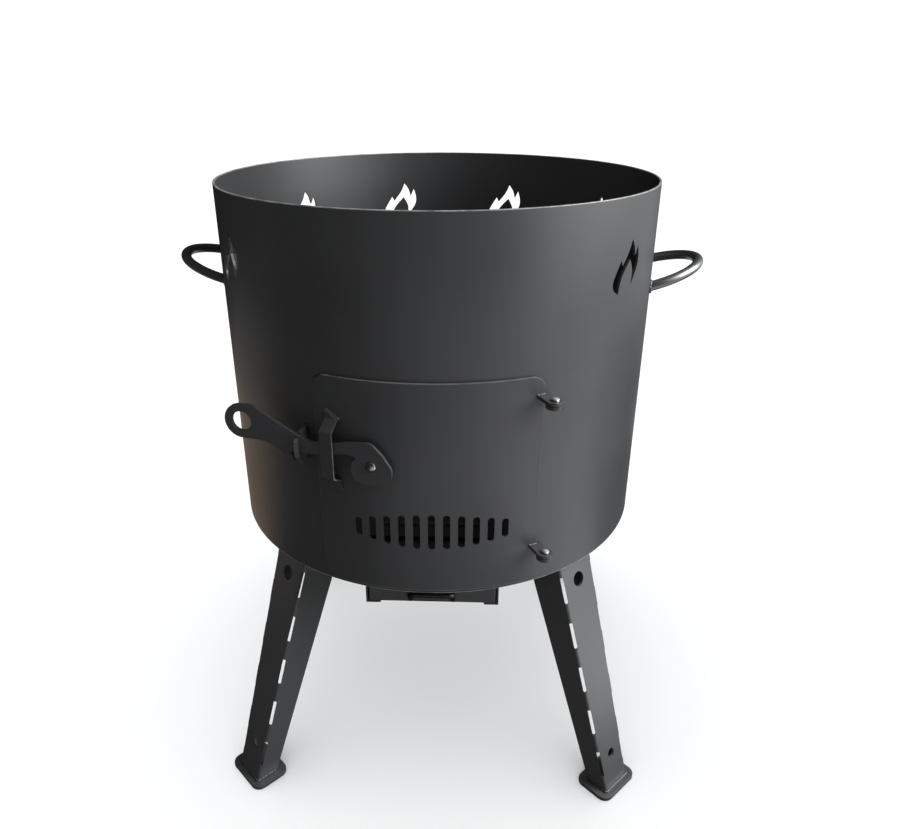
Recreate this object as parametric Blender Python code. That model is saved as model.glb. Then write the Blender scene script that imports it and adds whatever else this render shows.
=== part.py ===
"""Cauldron stove: a rolled sheet drum on four folded legs, with a latched door and an ash pan.

Metres, +Z up. The drum's axis is x = y = 0, the ground is z = 0 and the door faces -Y.
An azimuth is an angle round the drum, 0 at the door's middle and growing towards +X.
"""

import math

import bmesh
import bpy
from mathutils import Matrix, Vector

# Drum and its place above the ground
DRUM_RADIUS = 0.2025
DRUM_HEIGHT = 0.324
STAND_HEIGHT = 0.246
SHEET = 0.002
FLOOR_RECESS = 0.012
DRUM_STEPS = 120

# Clearances
GAP = 0.0003
RUN_GAP = 0.0006
PIN_GAP = 0.0003
OVERRUN = 0.010

# Vents under the rim
VENT_WIDTH = 0.0385
VENT_HEIGHT = 0.0425
VENT_DROP = 0.0344
VENT_PLACES = (1, 3, 4, 5, 6, 8)
VENT_DIVISIONS = 10
VENT_ROW_TURN = math.radians(-3.0)
VENT_SMOOTHING = 2

# Door and the opening behind it
DOOR_HALF_ANGLE = math.radians(26.8)
DOOR_TOP_DROP = 0.128
DOOR_FOOT_CLEARANCE = 0.004
DOOR_CORNER = 0.012
DOOR_OVERLAP = 0.010
SILL = 0.006
OPENING_CORNER = 0.008
AIR_SLOT_COUNT = 11
AIR_SLOT_PITCH = 0.0125
AIR_SLOT_WIDTH = 0.006
AIR_SLOT_LOW_HEIGHT = 0.018
AIR_SLOT_HIGH_HEIGHT = 0.034
AIR_SLOT_RISE = 0.059
AIR_SLOT_TURN = math.radians(0.8)

# Hinges
HINGE_INSET = 0.00035
HINGE_STANDOFF = 0.0165
HINGE_DROPS = (0.147, 0.287)
LUG_THICKNESS = 0.003
LUG_EAR_RADIUS = 0.0070
DOOR_LUG_FAR = 0.0068
DOOR_LUG_NEAR = 0.0005
SHELL_LUG_NEAR = 0.0032
SHELL_LUG_FAR = 0.0080
PIN_RADIUS = 0.0025
PIN_HEAD_RADIUS = 0.0037
PIN_HEAD_HEIGHT = 0.0018
PIN_TAIL = 0.0015

# Latch lever on its rivet
RIVET_INSET = 0.0511
LATCH_DROP = 0.199
LEVER_THICKNESS = 0.003
HEAD_RADIUS = 0.013
HEAD_SPREAD = 0.0046
HEAD_DROP = 0.0045
HEAD_CROWN_RADIUS = 0.009
HEAD_CROWN_SIDE = 0.003
HEAD_CROWN_RISE = 0.0115
NECK_LOW = 0.0050
NECK_HIGH = 0.0156
NECK_LENGTH = 0.0655
ARM_HEEL = 0.0036
RING_REACH = 0.1097
RING_RISE = 0.0277
RING_RADIUS = 0.0152
RING_HOLE_RADIUS = 0.0084
SPACER_RADIUS = 0.007
SPACER_THICKNESS = 0.003
RIVET_RADIUS = 0.0025
RIVET_HEAD_RADIUS = 0.0045
RIVET_HEAD_HEIGHT = 0.0022
RIVET_TAIL_HEIGHT = 0.0015

# Guide strap on the door and hook on the drum
GUIDE_OFFSET = 0.0346
GUIDE_WIDTH = 0.0115
GUIDE_HIGH = 0.0283
GUIDE_LOW = 0.0152
GUIDE_FOOT_HIGH = 0.0345
GUIDE_FOOT_LOW = 0.0205
GUIDE_TAB = 0.008
CATCH_OFFSET = 0.0614
CATCH_THICKNESS = 0.003
CATCH_NOSE = 0.0045
CATCH_LIP = 0.0140
CATCH_BACK_RISE = 0.0175
CATCH_DEPTH = 0.0130
CATCH_CHAMFER = 0.002
CATCH_CHIN = 0.0015
CATCH_HEEL = 0.0030

# Handles
ROD_RADIUS = 0.0045
HANDLE_DROP = 0.091
HANDLE_HALF_SPAN = 0.0470
HANDLE_REACH = 0.0447
HANDLE_TILT = math.radians(17.5)
HANDLE_TURN = math.radians(-2.0)
BEND_STEPS = 16
ROD_RESOLUTION = 2

# Legs, folded from sheet with a slotted line along each fold
LEG_TURNS = {"front_left": -45.0, "front_right": 45.0, "rear_left": -135.0, "rear_right": 135.0}
LEG_TOP_INSET = 0.0146
LEG_SPREAD = 0.0778
LEG_TOP_HALF_WIDTH = 0.0234
LEG_FOOT_HALF_WIDTH = 0.0171
LEG_TOP_FLANGE = 0.0422
LEG_FOOT_FLANGE = 0.0229
FOLD_RADIUS = 0.0015
FOLD_SLOT_COUNT = 5
FOLD_SLOT_FIRST = 0.0345
FOLD_SLOT_PITCH = 0.0450
FOLD_SLOT_LENGTH = 0.0280
FOLD_SLOT_WIDTH = 0.003
FOLD_SLOT_DEPTH = 0.014
LEG_TOP_HOLE_RADIUS = 0.007
LEG_TOP_HOLE_HEIGHT = 0.2177
LEG_LOW_HOLE_RADIUS = 0.0045
LEG_LOW_HOLE_HEIGHT = 0.0375
LEG_TAB_LENGTH = 0.034
FOOT_THICKNESS = 0.004
FOOT_HALF_WIDTH = 0.0255
FOOT_LENGTH = 0.0380
FOOT_LIP = 0.0045
FOOT_CORNER = 0.009

# Bolts that hold the legs
BOLT_RADIUS = 0.003
BOLT_CLEARANCE = 0.0003
HEX_HALF_FLATS = 0.005
HEAD_HEIGHT = 0.004
NUT_HEIGHT = 0.005
BOLT_END = 0.002

# Ash opening and the loose grate over it
ASH_SIDE_MARGIN = 0.0092
ASH_END_MARGIN = 0.015
ASH_CORNER = 0.002
GRATE_OVERLAP = 0.013
GRATE_THICKNESS = 0.004
GRATE_CORNER = 0.010
GRATE_SLOT_COUNT = 9
GRATE_SLOT_WIDTH = 0.009
GRATE_SLOT_MARGIN = 0.004

# Ash pan and its rails
PAN_LEG_GAP = 0.0127
PAN_LENGTH = 0.200
PAN_SETBACK = 0.0577
PAN_HEIGHT = 0.045
PAN_SHEET = 0.0015
RAIL_SHEET = 0.002
RAIL_LIP = 0.012
RAIL_DEPTH = 0.0690
PULL_RADIUS = 0.0025
PULL_HALF_SPAN = 0.020
PULL_HEIGHT = 0.0085
PULL_STUB = 0.007
PULL_REACH = 0.016
PULL_RISE = 0.017
PULL_BEND = 0.004
PULL_STEPS = 3

# Number of sides and steps of the round work
SMALL_SIDES = 16
CORNER_STEPS = 4
HEAD_STEPS = 28
SMOOTH_ANGLE = math.radians(30.0)

# A flame as shares of its width and height: across, up and whether the point is sharp
FLAME_SHARES = (
    (0.14, 1.00, True),
    (0.27, 0.84, False),
    (0.33, 0.66, True),
    (0.43, 0.85, True),
    (0.50, 0.64, False),
    (0.47, 0.42, False),
    (0.22, 0.10, True),
    (0.25, 0.38, False),
    (0.12, 0.62, True),
    (-0.08, 0.44, False),
    (-0.21, 0.26, False),
    (-0.27, 0.00, True),
    (-0.46, 0.12, False),
    (-0.49, 0.28, False),
    (-0.38, 0.47, False),
    (-0.25, 0.65, True),
    (-0.18, 0.54, True),
    (0.03, 0.78, False),
)

# The lever's edges: the neck in shares of its length and height, the arm of the ring's reach and rise
NECK_TOP_SHARES = ((0.32, 1.20), (0.53, 1.03), (0.72, 1.00), (0.92, 1.28))
NECK_UNDER_SHARES = ((1.04, 1.00), (0.72, 1.00), (0.53, 1.20), (0.32, 1.70))
ARM_TOP_SHARES = ((0.80, 1.29), (0.90, 1.54))
ARM_UNDER_SHARES = ((0.86, 0.44), (0.78, 0.36), (0.73, 0.26))

# Finishes: colour, roughness and metallic
BLACK_PAINT = ((0.035, 0.035, 0.037), 0.42, 0.0)
INNER_STEEL = ((0.060, 0.060, 0.063), 0.50, 0.3)
BARE_STEEL = ((0.52, 0.51, 0.50), 0.30, 1.0)

# Places worked out from the driving dimensions
DRUM_TOP = STAND_HEIGHT + DRUM_HEIGHT
DRUM_BORE = DRUM_RADIUS - SHEET
FLOOR_UNDER = STAND_HEIGHT + FLOOR_RECESS
FLOOR_TOP = FLOOR_UNDER + SHEET
DOOR_INNER = DRUM_RADIUS + GAP
DOOR_OUTER = DOOR_INNER + SHEET
DOOR_LOW = STAND_HEIGHT + DOOR_FOOT_CLEARANCE
DOOR_HIGH = DRUM_TOP - DOOR_TOP_DROP
DOOR_HALF_WIDTH = DOOR_OUTER * math.sin(DOOR_HALF_ANGLE)
HINGE_TURN = DOOR_HALF_ANGLE - HINGE_INSET / DRUM_RADIUS
HINGE_RADIUS = DRUM_RADIUS + HINGE_STANDOFF
LATCH_TURN = RIVET_INSET / DRUM_RADIUS - DOOR_HALF_ANGLE
LEVER_BACK = DOOR_OUTER + GAP + SPACER_THICKNESS + GAP
LEVER_FRONT = LEVER_BACK + LEVER_THICKNESS
LATCH_HEIGHT = DRUM_TOP - LATCH_DROP
LEG_TOP_RADIUS = DRUM_RADIUS - LEG_TOP_INSET
LEG_FOOT_RADIUS = LEG_TOP_RADIUS + LEG_SPREAD
LEG_INNER_CORNER = LEG_TOP_RADIUS - LEG_TOP_FLANGE - LEG_TOP_HALF_WIDTH
PAN_ROOM = LEG_INNER_CORNER * math.sin(math.radians(LEG_TURNS["front_right"]))
PAN_HALF_WIDTH = PAN_ROOM - PAN_LEG_GAP - RAIL_LIP - RUN_GAP
PAN_FRONT = DRUM_RADIUS - PAN_SETBACK
FIRE_CENTRE_BACK = PAN_LENGTH / 2 - PAN_FRONT
ASH_HALF_WIDTH = PAN_HALF_WIDTH - ASH_SIDE_MARGIN
ASH_HALF_LENGTH = PAN_LENGTH / 2 - ASH_END_MARGIN
GRATE_SLOT_PITCH = 2 * ASH_HALF_LENGTH / GRATE_SLOT_COUNT
GRATE_SLOT_LENGTH = 2 * (ASH_HALF_WIDTH - GRATE_SLOT_MARGIN)
GRATE_UNDER = FLOOR_TOP + GAP
RAIL_LOW = FLOOR_UNDER - RAIL_DEPTH
PAN_LOW = RAIL_LOW + RAIL_SHEET + GAP


def clear_scene() -> None:
    """Remove every object of the open scene."""
    for item in list(bpy.data.objects):
        bpy.data.objects.remove(item, do_unlink=True)


def around(azimuth: float, radius: float, height: float) -> Vector:
    """Point at an azimuth, a distance from the drum's axis and a height."""
    return Vector((radius * math.sin(azimuth), -radius * math.cos(azimuth), height))


def facing(azimuth: float, height: float) -> Matrix:
    """Frame on the drum's axis: X to the right seen from outside, Y up and Z outward."""
    across = Vector((math.cos(azimuth), math.sin(azimuth), 0.0))
    out = Vector((math.sin(azimuth), -math.cos(azimuth), 0.0))
    up = Vector((0.0, 0.0, 1.0))
    return Matrix.Translation((0.0, 0.0, height)) @ Matrix((across, up, out)).transposed().to_4x4()


def lifted(height: float) -> Matrix:
    """Frame with its axes along the world's, at a height."""
    return Matrix.Translation((0.0, 0.0, height))


# In this frame an outline's X is up and its Y is outward, and it is as thick as it is wide
PROFILE_TURN = Matrix(((0.0, 0.0, 1.0), (1.0, 0.0, 0.0), (0.0, 1.0, 0.0))).to_4x4()


def painted(name: str, finish: tuple) -> bpy.types.Material:
    """Material of one piece, from a finish."""
    colour, roughness, metallic = finish
    material = bpy.data.materials.new(name)
    material.use_nodes = True
    shader = material.node_tree.nodes["Principled BSDF"]
    shader.inputs["Base Color"].default_value = (*colour, 1.0)
    shader.inputs["Roughness"].default_value = roughness
    shader.inputs["Metallic"].default_value = metallic
    return material


def solid(shape: bmesh.types.BMesh, frame: Matrix, name: str = "work") -> bpy.types.Object:
    """Object of a closed mesh that is moved into a frame, with its faces pointing out."""
    bmesh.ops.recalc_face_normals(shape, faces=shape.faces)
    shape.transform(frame)
    mesh = bpy.data.meshes.new(name)
    shape.to_mesh(mesh)
    shape.free()
    piece = bpy.data.objects.new(name, mesh)
    bpy.context.scene.collection.objects.link(piece)
    return piece


def combine(piece: bpy.types.Object, tool: bpy.types.Object, operation: str) -> bpy.types.Object:
    """Apply a Boolean of piece with tool, and remove tool."""
    change = piece.modifiers.new(operation, "BOOLEAN")
    change.operation = operation
    change.solver = "EXACT"
    change.object = tool
    graph = bpy.context.evaluated_depsgraph_get()
    result = bpy.data.meshes.new_from_object(piece.evaluated_get(graph))
    piece.modifiers.clear()
    piece.data = result
    bpy.data.objects.remove(tool, do_unlink=True)
    return piece


def cut(piece: bpy.types.Object, *tools: bpy.types.Object) -> bpy.types.Object:
    """Cut tools out of piece."""
    for tool in tools:
        combine(piece, tool, "DIFFERENCE")
    return piece


def prism(outline: list, low: float, high: float, frame: Matrix) -> bpy.types.Object:
    """Closed solid over an outline of (x, y) points, from z = low to z = high of a frame."""
    shape = bmesh.new()
    base = shape.faces.new([shape.verts.new((x, y, low)) for x, y in outline])
    raised = bmesh.ops.extrude_face_region(shape, geom=[base])["geom"]
    corners = [item for item in raised if isinstance(item, bmesh.types.BMVert)]
    bmesh.ops.translate(shape, verts=corners, vec=(0.0, 0.0, high - low))
    return solid(shape, frame)


def turned(profile: list, steps: int, frame: Matrix, start: float = 0.0, sweep: float = math.tau):
    """Solid turned round a frame's Z from a closed profile of (radius, height) points."""
    shape = bmesh.new()
    heading = Vector((math.sin(start), -math.cos(start), 0.0))
    rim = [shape.verts.new((*(heading * radius).xy, height)) for radius, height in profile]
    edges = [shape.edges.new((rim[i - 1], rim[i])) for i in range(len(rim))]
    whole = math.isclose(sweep, math.tau)
    bmesh.ops.spin(
        shape, geom=rim + edges, cent=(0.0, 0.0, 0.0), axis=(0.0, 0.0, 1.0),
        angle=sweep, steps=steps, use_merge=whole,
    )
    if not whole:
        bmesh.ops.holes_fill(shape, edges=shape.edges, sides=0)
    return solid(shape, frame)


def arc(centre: tuple, radius: float, first: float, last: float, steps: int) -> list:
    """Points of an arc from one angle to another, both ends included."""
    turns = [first + (last - first) * i / steps for i in range(steps + 1)]
    return [(centre[0] + radius * math.cos(a), centre[1] + radius * math.sin(a)) for a in turns]


def circle(radius: float, sides: int, centre: tuple = (0.0, 0.0)) -> list:
    """Outline of a circle, its first corner straight down, as on the drum."""
    return arc(centre, radius, -math.pi / 2, 1.5 * math.pi, sides)[:-1]


def rounded_box(half_width: float, half_height: float, corner: float, centre: tuple = (0.0, 0.0)):
    """Outline of a rectangle with round corners."""
    points = []
    for quarter, (side, end) in enumerate(((1, -1), (1, 1), (-1, 1), (-1, -1))):
        middle = (centre[0] + side * (half_width - corner), centre[1] + end * (half_height - corner))
        first = (quarter - 1) * math.pi / 2
        points += arc(middle, corner, first, first + math.pi / 2, CORNER_STEPS)
    return points


def smoothed(shares: tuple, width: float, height: float, mirror: int) -> list:
    """Outline through shares of a width and a height, curved between its sharp points."""
    count = len(shares)
    sharp = [share[2] for share in shares]
    points = [Vector((mirror * share[0] * width, share[1] * height)) for share in shares]
    outline = []
    for i in range(count):
        here, there = points[i], points[(i + 1) % count]
        before = here if sharp[i] else points[i - 1]
        after = there if sharp[(i + 1) % count] else points[(i + 2) % count]
        leave, arrive = (there - before) / 2, (after - here) / 2
        for step in range(VENT_SMOOTHING):
            t = step / VENT_SMOOTHING
            spot = here * (2 * t**3 - 3 * t**2 + 1) + leave * (t**3 - 2 * t**2 + t)
            outline.append(tuple(spot + there * (3 * t**2 - 2 * t**3) + arrive * (t**3 - t**2)))
    return outline


def thick_line(path: list, thickness: float) -> list:
    """Outline of a bent strip: a path and its copy at a thickness to the path's left."""
    points = [Vector(point) for point in path]
    runs = [(points[i + 1] - points[i]).normalized() for i in range(len(points) - 1)]
    sides = [Vector((-run.y, run.x)) for run in runs]
    far = []
    for i, point in enumerate(points):
        first, second = sides[max(i - 1, 0)], sides[min(i, len(sides) - 1)]
        middle = (first + second).normalized()
        far.append(point + middle * thickness / middle.dot(first))
    return [tuple(point) for point in points] + [tuple(point) for point in reversed(far)]


def bent_path(points: list, bend: float, steps: int) -> list:
    """Path through points whose inner corners are arcs of one radius."""
    path = [points[0]]
    for before, corner, after in zip(points, points[1:], points[2:]):
        arrive, leave = (corner - before).normalized(), (after - corner).normalized()
        turn = arrive.angle(leave)
        back = bend * math.tan(turn / 2)
        centre = corner + (leave - arrive).normalized() * bend / math.cos(turn / 2)
        spoke = corner - arrive * back - centre
        axis = arrive.cross(leave)
        path += [centre + Matrix.Rotation(turn * i / steps, 3, axis) @ spoke for i in range(steps + 1)]
    return path + [points[-1]]


def rod(path: list, radius: float) -> bpy.types.Object:
    """Round bar along a path, with flat ends."""
    line = bpy.data.curves.new("rod", "CURVE")
    line.dimensions = "3D"
    line.bevel_depth = radius
    line.bevel_resolution = ROD_RESOLUTION
    line.use_fill_caps = True
    spline = line.splines.new("POLY")
    spline.points.add(len(path) - 1)
    for point, spot in zip(spline.points, path):
        point.co = (*spot, 1.0)
    guide = bpy.data.objects.new("rod", line)
    bpy.context.scene.collection.objects.link(guide)
    graph = bpy.context.evaluated_depsgraph_get()
    shape = bmesh.new()
    shape.from_mesh(bpy.data.meshes.new_from_object(guide.evaluated_get(graph)))
    bmesh.ops.remove_doubles(shape, verts=shape.verts, dist=GAP / 10)
    bpy.data.objects.remove(guide, do_unlink=True)
    return solid(shape, Matrix.Identity(4))


def drum_core(radius: float) -> bpy.types.Object:
    """Solid cylinder as tall as the drum and past it, that trims what is fitted to its wall."""
    high = DRUM_TOP + OVERRUN
    return prism(circle(radius, DRUM_STEPS), STAND_HEIGHT - OVERRUN, high, lifted(0.0))


def finished(piece: bpy.types.Object, name: str, finish: tuple) -> bpy.types.Object:
    """Name, paint and shade a piece."""
    piece.name = name
    piece.data.name = name
    piece.data.materials.clear()
    piece.data.materials.append(painted(name, finish))
    piece.data.shade_smooth()
    piece.data.set_sharp_from_angle(angle=SMOOTH_ANGLE)
    return piece


def copied(piece: bpy.types.Object, name: str, azimuth: float, finish: tuple) -> bpy.types.Object:
    """Copy of a piece, turned about the drum's axis to an azimuth."""
    twin = bpy.data.objects.new(name, piece.data.copy())
    bpy.context.scene.collection.objects.link(twin)
    twin.rotation_euler.z = azimuth
    return finished(twin, name, finish)


def pivot(name: str, place: Vector) -> bpy.types.Object:
    """Empty on a joint's axis."""
    empty = bpy.data.objects.new(name, None)
    bpy.context.scene.collection.objects.link(empty)
    empty.location = place
    return empty


def attach(pieces: list, parent: bpy.types.Object, place: Vector) -> None:
    """Parent pieces to an empty that stands at a place, and leave them where they are."""
    for piece in pieces:
        piece.parent = parent
        piece.matrix_parent_inverse = Matrix.Translation(-place)


def make_drum() -> bpy.types.Object:
    """Rolled drum with its door opening and the row of flame vents."""
    wall = [
        (DRUM_RADIUS, STAND_HEIGHT),
        (DRUM_RADIUS, DRUM_TOP),
        (DRUM_BORE, DRUM_TOP),
        (DRUM_BORE, STAND_HEIGHT),
    ]
    drum = turned(wall, DRUM_STEPS, lifted(0.0))
    low, high = FLOOR_TOP + SILL, DOOR_HIGH - DOOR_OVERLAP
    opening = rounded_box(
        DOOR_HALF_WIDTH - DOOR_OVERLAP, (high - low) / 2, OPENING_CORNER, (0.0, (low + high) / 2)
    )
    reach = DRUM_RADIUS + OVERRUN
    cut(drum, prism(opening, DRUM_BORE * math.cos(DOOR_HALF_ANGLE) - OVERRUN, reach, facing(0.0, 0.0)))
    for place in VENT_PLACES:
        azimuth = math.tau * (place + 0.5) / VENT_DIVISIONS + VENT_ROW_TURN
        mirror = 1 if math.cos(azimuth) > 0 else -1
        flame = smoothed(FLAME_SHARES, VENT_WIDTH, VENT_HEIGHT, mirror)
        frame = facing(azimuth, DRUM_TOP - VENT_DROP - VENT_HEIGHT)
        cut(drum, prism(flame, DRUM_BORE - OVERRUN, reach, frame))
    return finished(drum, "drum_shell", BLACK_PAINT)


def ash_outline(half_width: float, half_length: float, corner: float) -> list:
    """Rounded outline that is centred over the ash pan."""
    return rounded_box(half_width, half_length, corner, (0.0, FIRE_CENTRE_BACK))


def bolt_place() -> Vector:
    """Where a leg's bolt stands, for the leg at azimuth 0."""
    return around(0.0, leg_radius(FLOOR_UNDER) - LEG_TAB_LENGTH / 2, 0.0)


def make_floor() -> bpy.types.Object:
    """Floor plate with its ash opening and the legs' bolt holes."""
    floor = prism(circle(DRUM_BORE - GAP, DRUM_STEPS), 0.0, SHEET, lifted(FLOOR_UNDER))
    opening = ash_outline(ASH_HALF_WIDTH, ASH_HALF_LENGTH, ASH_CORNER)
    cut(floor, prism(opening, -OVERRUN, OVERRUN, lifted(FLOOR_UNDER)))
    for turn in LEG_TURNS.values():
        spot = Matrix.Rotation(math.radians(turn), 4, "Z") @ bolt_place()
        hole = circle(BOLT_RADIUS + BOLT_CLEARANCE, SMALL_SIDES, tuple(spot.xy))
        cut(floor, prism(hole, -OVERRUN, OVERRUN, lifted(FLOOR_UNDER)))
    return finished(floor, "drum_floor", INNER_STEEL)


def make_grate() -> bpy.types.Object:
    """Loose slotted plate that lies over the ash opening."""
    half_width, half_length = ASH_HALF_WIDTH + GRATE_OVERLAP, ASH_HALF_LENGTH + GRATE_OVERLAP
    plate = ash_outline(half_width, half_length, GRATE_CORNER)
    grate = prism(plate, 0.0, GRATE_THICKNESS, lifted(GRATE_UNDER))
    for number in range(GRATE_SLOT_COUNT):
        across = FIRE_CENTRE_BACK + (number - (GRATE_SLOT_COUNT - 1) / 2) * GRATE_SLOT_PITCH
        half = GRATE_SLOT_WIDTH / 2
        slot = rounded_box(GRATE_SLOT_LENGTH / 2, half, half, (0.0, across))
        cut(grate, prism(slot, -OVERRUN, OVERRUN, lifted(GRATE_UNDER)))
    return finished(grate, "fire_grate", INNER_STEEL)


def make_door() -> bpy.types.Object:
    """Curved overlay door with its row of air slots."""
    wall = [(DOOR_OUTER, DOOR_LOW - OVERRUN), (DOOR_OUTER, DOOR_HIGH + OVERRUN)]
    wall += [(DOOR_INNER, DOOR_HIGH + OVERRUN), (DOOR_INNER, DOOR_LOW - OVERRUN)]
    step = math.tau / DRUM_STEPS
    steps = 2 * math.ceil(DOOR_HALF_ANGLE / step + 0.5)
    door = turned(wall, steps, lifted(0.0), -steps * step / 2, steps * step)
    middle = (0.0, (DOOR_LOW + DOOR_HIGH) / 2)
    outline = rounded_box(DOOR_HALF_WIDTH, (DOOR_HIGH - DOOR_LOW) / 2, DOOR_CORNER, middle)
    combine(door, prism(outline, 0.0, DOOR_OUTER + OVERRUN, facing(0.0, 0.0)), "INTERSECT")
    middle_slot = (AIR_SLOT_COUNT - 1) / 2
    for number in range(AIR_SLOT_COUNT):
        place = number - middle_slot
        azimuth = AIR_SLOT_TURN + place * AIR_SLOT_PITCH / DOOR_OUTER
        swell = math.cos(place / middle_slot * math.pi / 2)
        height = AIR_SLOT_LOW_HEIGHT + (AIR_SLOT_HIGH_HEIGHT - AIR_SLOT_LOW_HEIGHT) * swell
        slot = rounded_box(AIR_SLOT_WIDTH / 2, height / 2, AIR_SLOT_WIDTH / 2)
        frame = facing(azimuth, DOOR_LOW + AIR_SLOT_RISE)
        cut(door, prism(slot, DOOR_INNER - OVERRUN, DOOR_OUTER + OVERRUN, frame))
    cut(door, rivet_hole(DOOR_INNER - OVERRUN, DOOR_OUTER + OVERRUN))
    return finished(door, "door_panel", BLACK_PAINT)


def latch_frame() -> Matrix:
    """Frame of the lever: Z along its rivet, out from the drum's axis."""
    return facing(LATCH_TURN, LATCH_HEIGHT)


def rivet_hole(low: float, high: float) -> bpy.types.Object:
    """Cutter for the rivet's clearance hole."""
    return prism(circle(RIVET_RADIUS + PIN_GAP, SMALL_SIDES), low, high, latch_frame())


def hinge_plate(outline: list, low: float, core: float) -> bpy.types.Object:
    """Lug plate over an outline, fitted to a round wall and drilled for the hinge pin."""
    plate = prism(outline, low, low + LUG_THICKNESS, lifted(0.0))
    centre = tuple(around(HINGE_TURN, HINGE_RADIUS, 0.0).xy)
    hole = circle(PIN_RADIUS + PIN_GAP, SMALL_SIDES, centre)
    cut(plate, prism(hole, low - OVERRUN, low + LUG_THICKNESS + OVERRUN, lifted(0.0)))
    return cut(plate, drum_core(core))


def lug_outline(first: Vector, second: Vector) -> list:
    """Outline of a round ear at the hinge pin that runs down to two points on a wall."""
    centre = tuple(around(HINGE_TURN, HINGE_RADIUS, 0.0).xy)
    start = tangent_angle(first, centre, LUG_EAR_RADIUS, 1)
    end = tangent_angle(second, centre, LUG_EAR_RADIUS, -1)
    end += math.tau * math.ceil((start - end) / math.tau)
    return [tuple(first), *arc(centre, LUG_EAR_RADIUS, start, end, SMALL_SIDES), tuple(second)]


def make_hinge(label: str, drop: float) -> tuple:
    """One hinge: the door's lug over the drum's lug, and the headed pin through both."""
    height = DRUM_TOP - drop
    spots = [
        around(HINGE_TURN + reach / DRUM_RADIUS, DRUM_BORE, 0.0).xy
        for reach in (SHELL_LUG_NEAR, SHELL_LUG_FAR, -DOOR_LUG_FAR, -DOOR_LUG_NEAR)
    ]
    shell_outline = lug_outline(spots[0], spots[1])
    shell_lug = hinge_plate(shell_outline, height - PIN_GAP / 2 - LUG_THICKNESS, DRUM_RADIUS + GAP)
    door_lug = hinge_plate(lug_outline(spots[2], spots[3]), height + PIN_GAP / 2, DOOR_OUTER + GAP)
    top = PIN_GAP / 2 + LUG_THICKNESS + GAP
    head = PIN_HEAD_RADIUS
    profile = [
        (0.0, -top - PIN_TAIL),
        (head - PIN_TAIL / 2, -top - PIN_TAIL),
        (head - PIN_TAIL / 4, -top),
        (PIN_RADIUS, -top),
        (PIN_RADIUS, top),
        (head, top),
        (head, top + PIN_HEAD_HEIGHT / 3),
        (head * math.cos(math.pi / 4), top + PIN_HEAD_HEIGHT * math.sin(math.pi / 3)),
        (0.0, top + PIN_HEAD_HEIGHT),
    ]
    pin = lathe(profile, Matrix.Translation(around(HINGE_TURN, HINGE_RADIUS, height)))
    finished(door_lug, f"door_lug_{label}", BLACK_PAINT)
    finished(shell_lug, f"shell_lug_{label}", BLACK_PAINT)
    finished(pin, f"hinge_pin_{label}", BARE_STEEL)
    return door_lug, shell_lug, pin


def lathe(profile: list, frame: Matrix) -> bpy.types.Object:
    """Solid turned from an open profile whose two ends lie on the axis."""
    shape = bmesh.new()
    line = [shape.verts.new((radius, 0.0, height)) for radius, height in profile]
    edges = [shape.edges.new(pair) for pair in zip(line, line[1:])]
    bmesh.ops.spin(
        shape, geom=line + edges, cent=(0.0, 0.0, 0.0), axis=(0.0, 0.0, 1.0),
        angle=math.tau, steps=SMALL_SIDES, use_merge=True,
    )
    bmesh.ops.remove_doubles(shape, verts=shape.verts, dist=GAP / 10)
    return solid(shape, frame)


def tangent_angle(point: tuple, centre: tuple, radius: float, side: int) -> float:
    """Angle at which the tangent from a point touches a circle."""
    offset = Vector(point) - Vector(centre)
    return math.atan2(offset.y, offset.x) + side * math.acos(radius / offset.length)


def scaled(shares: tuple, reach: float, height: float) -> list:
    """Points to the left of the rivet, from shares of a reach and a height."""
    return [(-share[0] * reach, share[1] * height) for share in shares]


def lever_outline() -> list:
    """Outline of the lever: an egg-shaped head, a slim neck, a broad arm and a ring."""
    left, right = (-HEAD_SPREAD, -HEAD_DROP), (HEAD_SPREAD, -HEAD_DROP)
    crown = (-HEAD_CROWN_SIDE, HEAD_CROWN_RISE)
    line = Vector(crown) - Vector(right)
    slope = math.atan2(line.y, line.x) - math.acos((HEAD_RADIUS - HEAD_CROWN_RADIUS) / line.length)
    ring = (-RING_REACH, RING_RISE)
    outline = arc(left, HEAD_RADIUS, 0.7 * math.pi, 1.5 * math.pi, HEAD_STEPS // 2)
    outline += arc(right, HEAD_RADIUS, -math.pi / 2, slope, HEAD_STEPS // 2)
    outline += arc(crown, HEAD_CROWN_RADIUS, slope, math.pi / 2, CORNER_STEPS)
    outline += scaled(NECK_TOP_SHARES, NECK_LENGTH, NECK_HIGH)
    outline += scaled(ARM_TOP_SHARES, RING_REACH, RING_RISE)
    outline += arc(ring, RING_RADIUS, 0.45 * math.pi, 1.5 * math.pi, HEAD_STEPS)
    outline += scaled(ARM_UNDER_SHARES, RING_REACH, RING_RISE)
    outline += [(-NECK_LENGTH, -ARM_HEEL)]
    return outline + scaled(NECK_UNDER_SHARES, NECK_LENGTH, NECK_LOW)


def make_lever() -> bpy.types.Object:
    """Latch lever with its finger ring and its rivet hole."""
    lever = prism(lever_outline(), LEVER_BACK, LEVER_FRONT, latch_frame())
    low, high = LEVER_BACK - OVERRUN, LEVER_FRONT + OVERRUN
    ring = (-RING_REACH, RING_RISE)
    cut(lever, prism(circle(RING_HOLE_RADIUS, HEAD_STEPS, ring), low, high, latch_frame()))
    cut(lever, rivet_hole(low, high))
    return finished(lever, "latch_lever", BLACK_PAINT)


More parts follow.
